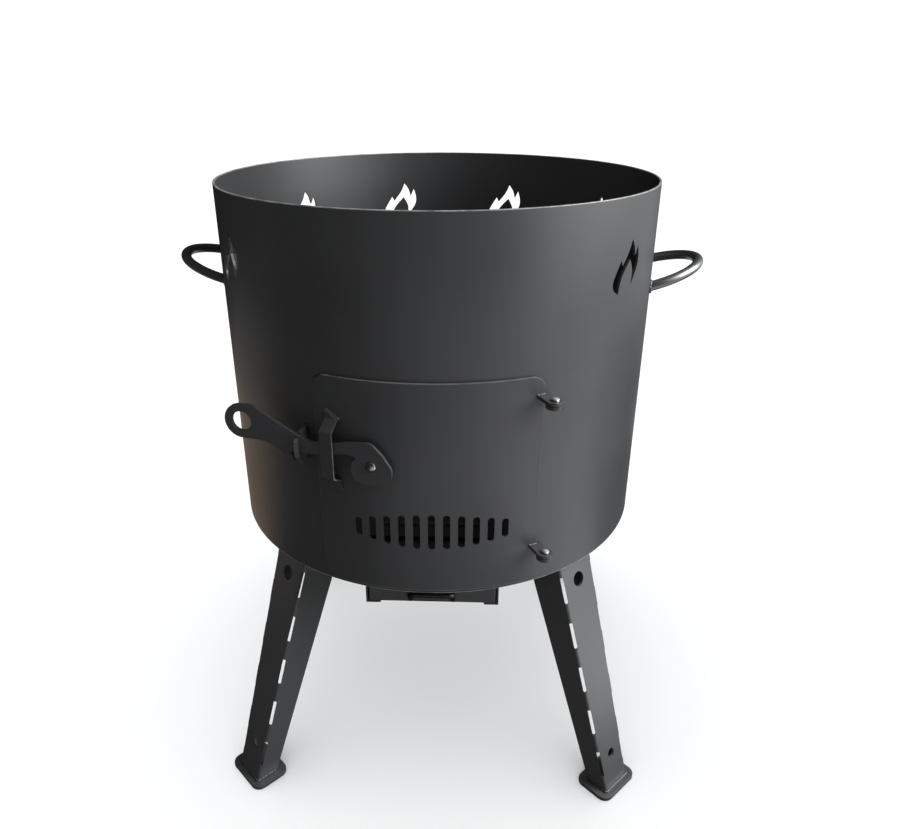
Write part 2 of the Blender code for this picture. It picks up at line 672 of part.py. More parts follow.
def make_rivet() -> tuple:
    """Rivet through lever and door, and the spacer that holds the lever off the door."""
    tail = DOOR_INNER - GAP
    head = LEVER_FRONT + GAP
    profile = [
        (0.0, tail - RIVET_TAIL_HEIGHT),
        (RIVET_HEAD_RADIUS - RIVET_TAIL_HEIGHT / 3, tail - RIVET_TAIL_HEIGHT),
        (RIVET_HEAD_RADIUS, tail),
        (RIVET_RADIUS, tail),
        (RIVET_RADIUS, head),
        (RIVET_HEAD_RADIUS, head),
        (RIVET_HEAD_RADIUS * math.cos(math.pi / 8), head + RIVET_HEAD_HEIGHT / 2),
        (RIVET_HEAD_RADIUS / 2, head + RIVET_HEAD_HEIGHT * math.sin(math.pi / 3)),
        (0.0, head + RIVET_HEAD_HEIGHT),
    ]
    rivet = finished(lathe(profile, latch_frame()), "latch_rivet", BARE_STEEL)
    low = DOOR_OUTER + GAP
    spacer = prism(circle(SPACER_RADIUS, SMALL_SIDES), low, low + SPACER_THICKNESS, latch_frame())
    cut(spacer, rivet_hole(low - OVERRUN, low + SPACER_THICKNESS + OVERRUN))
    return rivet, finished(spacer, "latch_spacer", BARE_STEEL)


def make_guide() -> bpy.types.Object:
    """Bent strap on the door that holds the lever's neck and limits its lift."""
    turn = math.atan2(GUIDE_OFFSET, DOOR_OUTER)
    far_edge = GUIDE_OFFSET + GUIDE_WIDTH / 2
    face = LEVER_FRONT * math.cos(turn) + far_edge * math.sin(turn) + RUN_GAP
    foot = DOOR_OUTER + GAP
    path = [
        (GUIDE_FOOT_HIGH + GUIDE_TAB, foot),
        (GUIDE_FOOT_HIGH, foot),
        (GUIDE_HIGH - SHEET, face),
        (-GUIDE_LOW + SHEET, face),
        (-GUIDE_FOOT_LOW, foot),
        (-GUIDE_FOOT_LOW - GUIDE_TAB, foot),
    ]
    strap = thick_line(path[::-1], SHEET)
    place = facing(LATCH_TURN - turn, LATCH_HEIGHT)
    guide = prism(strap, -GUIDE_WIDTH / 2, GUIDE_WIDTH / 2, place @ PROFILE_TURN)
    high, step = GUIDE_FOOT_HIGH + GUIDE_TAB, GUIDE_TAB / GUIDE_WIDTH
    side = GUIDE_WIDTH / 2 + OVERRUN
    drop = GUIDE_WIDTH + OVERRUN
    corner = [(-side, high + step * OVERRUN), (side, high - step * drop), (side, high + step * OVERRUN)]
    cut(guide, prism(corner, DOOR_INNER, DOOR_OUTER + OVERRUN, place))
    return finished(guide, "latch_guide", BLACK_PAINT)


def make_catch() -> bpy.types.Object:
    """Upright hook on the drum: the lever's neck drops into its notch."""
    seat = NECK_LOW - GAP
    back, front = LEVER_BACK - RUN_GAP, LEVER_FRONT + RUN_GAP
    nose = front + CATCH_NOSE
    low = seat - CATCH_DEPTH
    root = DRUM_BORE * math.cos(math.asin(CATCH_OFFSET / DRUM_BORE)) - SHEET
    profile = [
        (low, root),
        (low, DRUM_RADIUS + CATCH_HEEL),
        (seat - CATCH_CHIN, nose),
        (seat + CATCH_LIP - CATCH_CHAMFER, nose),
        (seat + CATCH_LIP, nose - CATCH_CHAMFER),
        (seat + CATCH_LIP, front),
        (seat, front),
        (seat, back),
        (seat + CATCH_BACK_RISE, back),
        (seat + CATCH_BACK_RISE, root),
    ]
    frame = latch_frame() @ Matrix.Translation((-CATCH_OFFSET, 0.0, 0.0)) @ PROFILE_TURN
    catch = prism(profile, -CATCH_THICKNESS / 2, CATCH_THICKNESS / 2, frame)
    cut(catch, drum_core(DRUM_RADIUS + GAP))
    return finished(catch, "latch_catch", BLACK_PAINT)


def make_handles() -> list:
    """The two bars bent to half circles, tilted up a little and trimmed to the drum's wall."""
    wall = math.sqrt(DRUM_RADIUS**2 - HANDLE_HALF_SPAN**2)
    root = wall - OVERRUN
    middle = (0.0, DRUM_RADIUS + HANDLE_REACH - HANDLE_HALF_SPAN)
    bow = arc(middle, HANDLE_HALF_SPAN, 0.0, math.pi, BEND_STEPS)
    height, rise = DRUM_TOP - HANDLE_DROP, math.tan(HANDLE_TILT)
    path = [
        Vector((across, -out, height + (out - wall) * rise))
        for across, out in ((HANDLE_HALF_SPAN, root), *bow, (-HANDLE_HALF_SPAN, root))
    ]
    bar = rod(path, ROD_RADIUS)
    handles = []
    for side, label in ((-1, "left"), (1, "right")):
        turn = side * math.pi / 2 + HANDLE_TURN
        handle = copied(bar, f"handle_{label}", 0.0, BLACK_PAINT)
        handle.data.transform(Matrix.Rotation(turn, 4, "Z"))
        cut(handle, drum_core(DRUM_RADIUS + GAP))
        handles.append(finished(handle, f"handle_{label}", BLACK_PAINT))
    bpy.data.objects.remove(bar, do_unlink=True)
    return handles


def leg_share(height: float) -> float:
    """How far up the leg a height lies, 0 at the ground and 1 at the drum's edge."""
    return height / STAND_HEIGHT


def leg_radius(height: float) -> float:
    """Distance from the drum's axis to the outside of the leg's web."""
    return LEG_FOOT_RADIUS + (LEG_TOP_RADIUS - LEG_FOOT_RADIUS) * leg_share(height)


def leg_half_width(height: float) -> float:
    """Half the width of the leg's web."""
    return LEG_FOOT_HALF_WIDTH + (LEG_TOP_HALF_WIDTH - LEG_FOOT_HALF_WIDTH) * leg_share(height)


def leg_section(height: float) -> list:
    """Channel section of the leg at azimuth 0, at a height."""
    outer, half = leg_radius(height), leg_half_width(height)
    flange = LEG_FOOT_FLANGE + (LEG_TOP_FLANGE - LEG_FOOT_FLANGE) * leg_share(height)
    inner = outer - flange
    return [
        (-half, -inner), (-half, -outer), (half, -outer), (half, -inner),
        (half - SHEET, -inner), (half - SHEET, SHEET - outer),
        (SHEET - half, SHEET - outer), (SHEET - half, -inner),
    ]


def fold_slot(number: int, side: int) -> bpy.types.Object:
    """Cutter for one slot through a fold, at the leg at azimuth 0."""
    height = FOLD_SLOT_FIRST + number * FOLD_SLOT_PITCH
    spots = [
        Vector((side * leg_half_width(z), -leg_radius(z), z)) for z in (0.0, height, STAND_HEIGHT)
    ]
    along = (spots[2] - spots[0]).normalized()
    out = Vector((side, -1.0, 0.0))
    out = (out - along * out.dot(along)).normalized()
    frame = Matrix((along, out.cross(along), out)).transposed()
    outline = rounded_box(FOLD_SLOT_LENGTH / 2, FOLD_SLOT_WIDTH / 2, FOLD_SLOT_WIDTH / 4)
    place = Matrix.Translation(spots[1]) @ frame.to_4x4()
    return prism(outline, -FOLD_SLOT_DEPTH / 2, FOLD_SLOT_DEPTH / 2, place)


def make_legs() -> list:
    """Four folded legs, each with a top tab, slotted folds and two holes in its web."""
    low, high = FOOT_THICKNESS + GAP, FLOOR_UNDER - GAP
    shape = bmesh.new()
    rings = [[shape.verts.new((x, y, z)) for x, y in leg_section(z)] for z in (low, high)]
    count = len(rings[0])
    for i in range(count):
        j = (i + 1) % count
        shape.faces.new((rings[0][i], rings[0][j], rings[1][j], rings[1][i]))
    shape.faces.new(rings[0])
    shape.faces.new(rings[1])
    folds = [edge for edge in shape.edges if {*edge.verts} in ({rings[0][k], rings[1][k]} for k in (1, 2))]
    bmesh.ops.bevel(shape, geom=folds, offset=FOLD_RADIUS, segments=2, profile=0.5, affect="EDGES")
    leg = solid(shape, lifted(0.0))
    half = leg_half_width(high) - SHEET - GAP
    outer = leg_radius(high) - SHEET / 2
    inner = outer - LEG_TAB_LENGTH
    tab = [(-half, -outer), (half, -outer), (half, -inner), (-half, -inner)]
    combine(leg, prism(tab, high - SHEET, high, lifted(0.0)), "UNION")
    hole = circle(BOLT_RADIUS + BOLT_CLEARANCE, SMALL_SIDES, tuple(bolt_place().xy))
    cut(leg, prism(hole, high - OVERRUN, high + OVERRUN, lifted(0.0)))
    for side in (-1, 1):
        for number in range(FOLD_SLOT_COUNT):
            cut(leg, fold_slot(number, side))
    for radius, height in (
        (LEG_TOP_HOLE_RADIUS, LEG_TOP_HOLE_HEIGHT), (LEG_LOW_HOLE_RADIUS, LEG_LOW_HOLE_HEIGHT),
    ):
        face = leg_radius(height)
        hole = prism(circle(radius, SMALL_SIDES), face - OVERRUN, face + OVERRUN, facing(0.0, height))
        cut(leg, hole)
    legs = [
        copied(leg, f"leg_{label}", math.radians(turn), BLACK_PAINT) for label, turn in LEG_TURNS.items()
    ]
    bpy.data.objects.remove(leg, do_unlink=True)
    return legs


def make_feet() -> list:
    """Foot plates with rounded corners, one under each leg."""
    outer = LEG_FOOT_RADIUS + FOOT_LIP
    middle = (0.0, FOOT_LENGTH / 2 - outer)
    outline = rounded_box(FOOT_HALF_WIDTH, FOOT_LENGTH / 2, FOOT_CORNER, middle)
    plate = prism(outline, 0.0, FOOT_THICKNESS, lifted(0.0))
    feet = [
        copied(plate, f"foot_{label}", math.radians(turn), BLACK_PAINT)
        for label, turn in LEG_TURNS.items()
    ]
    bpy.data.objects.remove(plate, do_unlink=True)
    return feet


def make_bolts() -> list:
    """Hexagon bolts through floor and legs, with their nuts under the legs' tabs."""
    place = Matrix.Translation(bolt_place())
    hexagon = circle(HEX_HALF_FLATS / math.cos(math.pi / 6), 6)
    head = FLOOR_TOP + GAP
    nut_top = FLOOR_UNDER - GAP - SHEET - GAP
    low = nut_top - NUT_HEIGHT
    bolt = prism(hexagon, head, head + HEAD_HEIGHT, place)
    shank = prism(circle(BOLT_RADIUS, SMALL_SIDES), low - BOLT_END, head + HEAD_HEIGHT / 2, place)
    combine(bolt, shank, "UNION")
    nut = prism(hexagon, low, nut_top, place)
    hole = circle(BOLT_RADIUS + BOLT_CLEARANCE, SMALL_SIDES)
    cut(nut, prism(hole, low - OVERRUN, nut_top + OVERRUN, place))
    fasteners = []
    for label, turn in LEG_TURNS.items():
        fasteners.append(copied(bolt, f"leg_bolt_{label}", math.radians(turn), BARE_STEEL))
        fasteners.append(copied(nut, f"leg_nut_{label}", math.radians(turn), BARE_STEEL))
    bpy.data.objects.remove(bolt, do_unlink=True)
    bpy.data.objects.remove(nut, do_unlink=True)
    return fasteners


def make_rails() -> list:
    """Z-shaped rails under the floor plate, that carry the ash pan on their lips."""
    top = FLOOR_UNDER - GAP - RAIL_SHEET
    web = PAN_HALF_WIDTH + RUN_GAP
    inside, outside = web - RAIL_LIP, web + RAIL_LIP
    profile = [
        (inside, RAIL_LOW), (web + RAIL_SHEET, RAIL_LOW), (web + RAIL_SHEET, top), (outside, top),
        (outside, top + RAIL_SHEET), (web, top + RAIL_SHEET), (web, RAIL_LOW + RAIL_SHEET),
        (inside, RAIL_LOW + RAIL_SHEET),
    ]
    rails = []
    for side, label in ((-1, "left"), (1, "right")):
        section = [(side * across, height) for across, height in profile]
        rail = prism(section, PAN_FRONT - PAN_LENGTH, PAN_FRONT, facing(0.0, 0.0))
        rails.append(finished(rail, f"pan_rail_{label}", BLACK_PAINT))
    return rails


def make_pan() -> list:
    """Folded ash pan, open on top, with its bent wire pull."""
    outline = [(-PAN_HALF_WIDTH, -PAN_FRONT), (PAN_HALF_WIDTH, -PAN_FRONT)]
    outline += [(x, y + PAN_LENGTH) for x, y in reversed(outline)]
    shape = bmesh.new()
    base = shape.faces.new([shape.verts.new((x, y, PAN_LOW)) for x, y in outline])
    raised = bmesh.ops.extrude_face_region(shape, geom=[base])["geom"]
    corners = [item for item in raised if isinstance(item, bmesh.types.BMVert)]
    bmesh.ops.translate(shape, verts=corners, vec=(0.0, 0.0, PAN_HEIGHT))
    mouth = next(face for face in shape.faces if all(v in corners for v in face.verts))
    bmesh.ops.inset_individual(shape, faces=[mouth], thickness=PAN_SHEET, use_even_offset=True)
    sunk = bmesh.ops.extrude_face_region(shape, geom=[mouth])["geom"]
    inner = [item for item in sunk if isinstance(item, bmesh.types.BMVert)]
    bmesh.ops.translate(shape, verts=inner, vec=(0.0, 0.0, PAN_SHEET - PAN_HEIGHT))
    bmesh.ops.delete(shape, geom=[mouth], context="FACES_ONLY")
    pan = finished(solid(shape, lifted(0.0)), "ash_pan", BLACK_PAINT)
    start = -PAN_FRONT - GAP
    height = PAN_LOW + PULL_HEIGHT
    stub = start - PULL_STUB
    right = [
        Vector((PULL_HALF_SPAN, start, height)),
        Vector((PULL_HALF_SPAN, stub, height)),
        Vector((PULL_HALF_SPAN, stub - PULL_REACH, height + PULL_RISE)),
    ]
    left = [Vector((-spot.x, spot.y, spot.z)) for spot in reversed(right)]
    pull = rod(bent_path(right + left, PULL_BEND, PULL_STEPS), PULL_RADIUS)
    return [pan, finished(pull, "ash_pan_pull", BARE_STEEL)]


def main() -> None:
    """Build every piece and hang the moving ones on their joints' axes."""
    clear_scene()
    make_drum()
    make_floor()
    make_rails()
    make_legs()
    make_feet()
    make_bolts()
    make_handles()
    make_catch()
    door_side = [make_door(), make_guide(), *make_rivet()]
    for label, drop in zip(("upper", "lower"), HINGE_DROPS):
        door_lug, _, _ = make_hinge(label, drop)
        door_side.append(door_lug)
    hinge_place = around(HINGE_TURN, HINGE_RADIUS, 0.0)
    attach(door_side, pivot("door_axis", hinge_place), hinge_place)
    latch_place = around(LATCH_TURN, LEVER_FRONT, LATCH_HEIGHT)
    attach([make_lever()], pivot("latch_axis", latch_place), latch_place)
    pan_place = around(0.0, PAN_FRONT, PAN_LOW)
    attach(make_pan(), pivot("pan_slide", pan_place), pan_place)
    grate_place = Vector((0.0, FIRE_CENTRE_BACK, GRATE_UNDER))
    attach([make_grate()], pivot("grate_lift", grate_place), grate_place)


main()
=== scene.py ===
"""Cauldron stove: the finished look of its sheet steel pieces, on a plain pale studio floor.

Metres, +Z up. The drum's axis is x = y = 0, the ground is z = 0 and the door faces -Y.
An azimuth is an angle round the drum, 0 at the door's middle and growing towards +X.
"""

import logging
import math
from collections.abc import Callable, Iterator, Sequence
from contextlib import contextmanager
from dataclasses import dataclass, field
from enum import Enum

import bmesh
import bpy
from mathutils import Matrix, Vector


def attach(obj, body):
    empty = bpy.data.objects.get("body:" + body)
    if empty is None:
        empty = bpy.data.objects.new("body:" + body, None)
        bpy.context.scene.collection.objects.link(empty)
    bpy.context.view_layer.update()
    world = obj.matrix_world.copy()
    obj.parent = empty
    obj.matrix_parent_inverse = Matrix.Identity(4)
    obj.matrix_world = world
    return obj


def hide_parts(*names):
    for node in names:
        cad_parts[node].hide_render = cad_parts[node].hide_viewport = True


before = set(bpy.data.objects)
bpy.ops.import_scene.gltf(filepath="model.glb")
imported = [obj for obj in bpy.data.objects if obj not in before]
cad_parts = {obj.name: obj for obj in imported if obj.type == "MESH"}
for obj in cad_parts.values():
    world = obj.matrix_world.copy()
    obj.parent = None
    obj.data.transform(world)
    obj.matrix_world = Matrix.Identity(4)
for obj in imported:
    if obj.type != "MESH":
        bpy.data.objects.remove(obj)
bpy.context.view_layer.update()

logging.basicConfig(level=logging.INFO, format="%(message)s")
LOG = logging.getLogger("stove")

Pair = tuple[float, float]
Outline = list[Pair]
Colour = tuple[float, float, float, float]
Piece = bpy.types.Object
Socket = bpy.types.NodeSocket


class Carrier(Enum):
    """The bodies that pieces ride on."""

    STAND = "stand"
    DOOR = "door"
    LATCH = "latch"
    PAN = "pan"
    GRATE = "grate"


class Part(Enum):
    """What an edit-mode selection is made of."""

    VERTS = "VERT"
    EDGES = "EDGE"
    FACES = "FACE"


class Corner(Enum):
    """The four legs, each with its azimuth in degrees."""

    front_left = -45.0
    front_right = 45.0
    rear_left = -135.0
    rear_right = 135.0

    @property
    def turn(self) -> float:
        """Azimuth in radians."""
        return math.radians(self.value)


@dataclass(frozen=True)
class Layout:
    """Places and clearances that the sub-assemblies share."""

    drum_radius: float = 0.2025
    drum_top: float = 0.570
    drum_low: float = 0.246
    sheet: float = 0.002
    floor_under: float = 0.258
    gap: float = 0.0003
    door_low: float = 0.250
    door_high: float = 0.442
    hinge_turn: float = math.radians(26.701)
    hinge_radius: float = 0.219
    latch_turn: float = math.radians(-12.3417)
    latch_height: float = 0.371
    bolt_hole: float = 0.0033
    bite: float = 0.0005
    overrun: float = 0.01

    @property
    def drum_bore(self) -> float:
        """Inner radius of the drum."""
        return self.drum_radius - self.sheet

    @property
    def door_inner(self) -> float:
        """Inner radius of the door."""
        return self.drum_radius + self.gap

    @property
    def door_outer(self) -> float:
        """Outer radius of the door."""
        return self.door_inner + self.sheet

    @property
    def floor_top(self) -> float:
        """Upper face of the floor plate."""
        return self.floor_under + self.sheet

    @property
    def lever_back(self) -> float:
        """Distance from the drum's axis to the back of the latch lever."""
        return self.door_outer + 0.0036

    @property
    def lever_front(self) -> float:
        """Distance from the drum's axis to the front of the latch lever."""
        return self.lever_back + 0.003


LAYOUT = Layout()


def around(azimuth: float, radius: float, height: float) -> Vector:
    """Point at an azimuth, a distance from the drum's axis and a height."""
    return Vector((radius * math.sin(azimuth), -radius * math.cos(azimuth), height))


def facing(azimuth: float, height: float, out: float = 0.0) -> Matrix:
    """Frame with X to the right seen from outside, Y up and Z outward.

    Args:
        azimuth: Where it looks.
        height: Height of its origin.
        out: Distance of its origin from the drum's axis.

    Returns:
        The frame.
    """
    across = Vector((math.cos(azimuth), math.sin(azimuth), 0.0))
    away = Vector((math.sin(azimuth), -math.cos(azimuth), 0.0))
    turn = Matrix((across, Vector((0.0, 0.0, 1.0)), away)).transposed().to_4x4()
    return Matrix.Translation((0.0, 0.0, height)) @ turn @ Matrix.Translation((0.0, 0.0, out))


def arc(centre: Pair, radius: float, first: float, last: float, steps: int) -> Outline:
    """Points of an arc from one angle to another.

    Args:
        centre: Middle of the arc.
        radius: Its radius.
        first: Angle of its first point, in radians.
        last: Angle of its last point, in radians.
        steps: Number of steps between the two.

    Returns:
        The points, both ends included.
    """
    turns = [first + (last - first) * i / steps for i in range(steps + 1)]
    return [(centre[0] + radius * math.cos(a), centre[1] + radius * math.sin(a)) for a in turns]


def flowing(anchors: Sequence[Pair], steps: int) -> Outline:
    """Smooth line through anchors, both ends included.

    Args:
        anchors: The points that it passes.
        steps: Number of steps between two anchors.

    Returns:
        The points of the line.
    """
    spots = [Vector(spot) for spot in anchors]
    line = []
    for i, (here, there) in enumerate(zip(spots, spots[1:])):
        before, after = spots[max(i - 1, 0)], spots[min(i + 2, len(spots) - 1)]
        leave, arrive = (there - before) / 2, (after - here) / 2
        for t in (step / steps for step in range(steps)):
            spot = here * (2 * t**3 - 3 * t**2 + 1) + leave * (t**3 - 2 * t**2 + t)
            line.append(tuple(spot + there * (3 * t**2 - 2 * t**3) + arrive * (t**3 - t**2)))
    return [*line, tuple(spots[-1])]


def strip(path: Sequence[Pair], thickness: float) -> Outline:
    """Outline of a bent strip: a path, and back along its other side.

    Args:
        path: Corners of one side.
        thickness: Thickness to the path's left.

    Returns:
        The outline.
    """
    spots = [Vector(spot) for spot in path]
    runs = [(there - here).normalized() for here, there in zip(spots, spots[1:])]
    sides = [Vector((-run.y, run.x)) for run in runs]
    far = []
    for i, spot in enumerate(spots):
        first, second = sides[max(i - 1, 0)], sides[min(i, len(sides) - 1)]
        middle = (first + second).normalized()
        far.append(tuple(spot + middle * thickness / middle.dot(first)))
    return [*(tuple(spot) for spot in spots), *reversed(far)]


def dome(radius: float, low: float, rise: float, turns: Sequence[float]) -> Outline:
    """Points up a domed head, from its rim to near its crown.

    Args:
        radius: Radius of its rim.
        low: Height of its rim.
        rise: Height of the crown over the rim.
        turns: Angles of the points in degrees, 0 at the rim.

    Returns:
        Radius and height of each point.
    """
    return [(radius * math.cos(a), low + rise * math.sin(a)) for a in map(math.radians, turns)]


# In this frame an outline's X is up, its Y is outward, and its height runs to the right
PROFILE_TURN = Matrix(((0.0, 0.0, 1.0), (1.0, 0.0, 0.0), (0.0, 1.0, 0.0))).to_4x4()

# A flame as shares of its width and height: across, up and whether the point is sharp
FLAME = (
    (0.14, 1.00, True), (0.27, 0.84, False), (0.33, 0.66, True), (0.43, 0.85, True),
    (0.50, 0.64, False), (0.47, 0.42, False), (0.22, 0.10, True), (0.25, 0.38, False),
    (0.12, 0.62, True), (-0.08, 0.44, False), (-0.21, 0.26, False), (-0.27, 0.00, True),
    (-0.46, 0.12, False), (-0.49, 0.28, False), (-0.38, 0.47, False), (-0.25, 0.65, True),
    (-0.18, 0.54, True), (0.03, 0.78, False),
)

# The lever's edges: the neck in shares of its length and height, the arm of the ring's reach and rise
NECK_TOP = ((0.32, 1.20), (0.53, 1.03), (0.72, 1.00), (0.92, 1.28))
ARM_TOP = ((0.80, 1.29), (0.90, 1.54))
ARM_UNDER = ((0.86, 0.44), (0.78, 0.36), (0.73, 0.26))
NECK_UNDER = ((1.04, 1.00), (0.72, 1.00), (0.53, 1.20), (0.32, 1.70))


class Bench:
    """Blender's modelling tools, used on one piece at a time."""

    @staticmethod
    def clear() -> None:
        """Leave edit mode and deselect every object."""
        if bpy.context.mode != "OBJECT":
            bpy.ops.object.mode_set(mode="OBJECT")
        bpy.ops.object.select_all(action="DESELECT")

    @staticmethod
    def take(piece: Piece) -> None:
        """Make a piece the only selected and active object.

        Args:
            piece: The piece.
        """
        Bench.clear()
        piece.select_set(True)
        bpy.context.view_layer.objects.active = piece

    @staticmethod
    @contextmanager
    def editing(piece: Piece) -> Iterator[None]:
        """Open a piece in edit mode with nothing selected, and close it afterwards.

        Args:
            piece: The piece.

        Returns:
            A context in which the piece is open.
        """
        Bench.take(piece)
        bpy.ops.object.mode_set(mode="EDIT")
        bpy.ops.mesh.select_mode(type=Part.VERTS.value)
        bpy.ops.mesh.select_all(action="DESELECT")
        yield
        bpy.ops.object.mode_set(mode="OBJECT")

    @staticmethod
    def pick(piece: Piece, part: Part, test: Callable[..., bool]) -> None:
        """Select what passes a test, in edit mode.

        Args:
            piece: The piece that is open in edit mode.
            part: Whether vertices, edges or faces are tested.
            test: Takes the element and says whether it is wanted.
        """
        bpy.ops.mesh.select_all(action="DESELECT")
        bpy.ops.mesh.select_mode(type=part.value)
        shape = bmesh.from_edit_mesh(piece.data)
        items = {Part.VERTS: shape.verts, Part.EDGES: shape.edges, Part.FACES: shape.faces}[part]
        for item in [item for item in items if test(item)]:
            item.select_set(True)
        shape.select_flush_mode()
        bmesh.update_edit_mesh(piece.data)

    @staticmethod
    def apply(piece: Piece, kind: str, **settings: object) -> None:
        """Add a modifier, give it its settings and apply it.

        Args:
            piece: The piece that is changed.
            kind: The modifier's type.
            settings: Its properties by name.
        """
        Bench.take(piece)
        change = piece.modifiers.new(kind.lower(), kind)
        for key, value in settings.items():
            setattr(change, key, value)
        bpy.ops.object.modifier_apply(modifier=change.name)

    @staticmethod
    def combine(piece: Piece, tool: Piece, operation: str) -> None:
        """Apply a Boolean of a piece with a tool, and remove the tool."""
        Bench.apply(piece, "BOOLEAN", operation=operation, solver="EXACT", object=tool)
        Bench.discard(tool)

    @staticmethod
    def discard(*pieces: Piece) -> None:
        """Remove pieces that are used up."""
        for piece in pieces:
            bpy.data.objects.remove(piece, do_unlink=True)

    @staticmethod
    def cut(piece: Piece, *tools: Piece) -> None:
        """Cut tools out of a piece."""
        for tool in tools:
            Bench.combine(piece, tool, "DIFFERENCE")

    @staticmethod
    def settle(piece: Piece, place: Matrix | None = None) -> Piece:
        """Put a piece into a frame and move that place into its mesh.

        Args:
            piece: The piece, in the coordinates of the frame.
            place: The frame, or None where the piece already stands in its place.

        Returns:
            The same piece, its object at the origin.
        """
        Bench.take(piece)
        if place is not None:
            piece.matrix_world = place @ piece.matrix_world
        bpy.ops.object.transform_apply(location=True, rotation=True, scale=True)
        return piece

    @staticmethod
    def copy(piece: Piece, place: Matrix) -> Piece:
        """Copy of a piece with its own mesh, moved by a matrix.

        Args:
            piece: The piece that is copied.
            place: The matrix that moves the copy.

        Returns:
            The copy.
        """
        Bench.take(piece)
        bpy.ops.object.duplicate(linked=False)
        return Bench.settle(bpy.context.view_layer.objects.active, place)

    @staticmethod
    def close(piece: Piece) -> None:
        """Merge doubles and turn every face outward.

        Args:
            piece: The piece.
        """
        with Bench.editing(piece):
            bpy.ops.mesh.select_all(action="SELECT")
            bpy.ops.mesh.remove_doubles(threshold=0.00001)
            bpy.ops.mesh.normals_make_consistent(inside=False)

    @staticmethod
    def soften(piece: Piece, width: float, angle: float = 50.0) -> None:
        """Round the edges of a piece that are sharper than an angle.

        Args:
            piece: The piece.
            width: Width of the bevel.
            angle: Least angle between two faces, in degrees.
        """
        Bench.apply(
            piece, "BEVEL", width=width, segments=2, limit_method="ANGLE",
            angle_limit=math.radians(angle), use_clamp_overlap=False, miter_outer="MITER_ARC",
        )

    @staticmethod
    def smooth(piece: Piece, angle: float = 32.0) -> None:
        """Shade a piece smooth, but for edges sharper than an angle in degrees.

        Args:
            piece: The piece.
            angle: The angle.
        """
        Bench.take(piece)
        bpy.ops.object.shade_smooth_by_angle(angle=math.radians(angle), keep_sharp_edges=False)
        Bench.apply(piece, "WEIGHTED_NORMAL", mode="FACE_AREA", weight=100, keep_sharp=True)

    @staticmethod
    def ring(radius: float, sides: int, height: float, filled: bool = True) -> Piece:
        """Flat circle on the Z axis, as the start of a round piece.

        Args:
            radius: Its radius.
            sides: Its number of sides.
            height: Its height.
            filled: Whether it has a face.

        Returns:
            The circle.
        """
        Bench.clear()
        bpy.ops.mesh.primitive_circle_add(
            vertices=sides, radius=radius, fill_type="NGON" if filled else "NOTHING",
            location=(0.0, 0.0, height),
        )
        return Bench.settle(bpy.context.object)

    @staticmethod
    def draw_out(step: Sequence[float]) -> None:
        """Extrude what is selected by a step."""
        bpy.ops.mesh.extrude_region_move(TRANSFORM_OT_translate={"value": step})

    @staticmethod
    def turned(profile: Sequence[Pair], sides: int) -> Piece:
        """Round piece on the Z axis, drawn up ring by ring.

        Args:
            profile: Radius and height of each ring, from the bottom up.
            sides: Number of sides.

        Returns:
            A closed piece.
        """
        radius, height = profile[0]
        piece = Bench.ring(radius, sides, height)
        with Bench.editing(piece):
            bpy.ops.mesh.select_all(action="SELECT")
            for wider, higher in profile[1:]:
                Bench.draw_out((0.0, 0.0, higher - height))
                share = wider / radius
                bpy.ops.transform.resize(value=(share, share, 1.0), center_override=(0.0, 0.0, higher))
                radius, height = wider, higher
        Bench.close(piece)
        return piece

    @staticmethod
    def rod(radius: float, low: float, high: float, sides: int) -> Piece:
        """Round bar on the Z axis, as a cutter or the start of a piece."""
        return Bench.turned([(radius, low), (radius, high)], sides)

    @staticmethod
    def drill(radius: float, place: Matrix, sides: int = 32) -> Piece:
        """Cutter for a hole along a frame's Z, through a sheet at its origin."""
        return Bench.settle(Bench.rod(radius, -LAYOUT.overrun, LAYOUT.overrun, sides), place)

    @staticmethod
    def tube(bore: float, wall: float, low: float, high: float, sides: int) -> Piece:
        """Open tube on the Z axis, with quads round its rims.

        Args:
            bore: Inner radius.
            wall: Thickness of its wall.
            low: Height of its lower rim.
            high: Height of its upper rim.
            sides: Number of sides.

        Returns:
            A closed piece.
        """
        piece = Bench.ring(bore, sides, low, filled=False)
        with Bench.editing(piece):
            bpy.ops.mesh.select_all(action="SELECT")
            Bench.draw_out((0.0, 0.0, high - low))
        Bench.close(piece)
        Bench.apply(piece, "SOLIDIFY", thickness=wall, offset=1.0, use_even_offset=True)
        return piece

    @staticmethod
    def plate(outline: Outline, low: float, high: float) -> Piece:
        """Flat plate whose outline is traced point by point and then raised.

        Args:
            outline: Corners in the XY plane.
            low: Height of its underside.
            high: Height of its upper face.

        Returns:
            A closed piece.
        """
        Bench.clear()
        bpy.ops.mesh.primitive_plane_add(size=0.001, location=(*outline[0], low))
        piece = Bench.settle(bpy.context.object)
        with Bench.editing(piece):
            bpy.ops.mesh.select_all(action="SELECT")
            bpy.ops.mesh.merge(type="CENTER")
            for here, there in zip(outline, [*outline[1:], outline[0]]):
                Bench.draw_out((there[0] - here[0], there[1] - here[1], 0.0))
            bpy.ops.mesh.select_all(action="SELECT")
            bpy.ops.mesh.remove_doubles(threshold=0.000005)
            bpy.ops.mesh.edge_face_add()
            Bench.draw_out((0.0, 0.0, high - low))
        Bench.close(piece)
        return piece

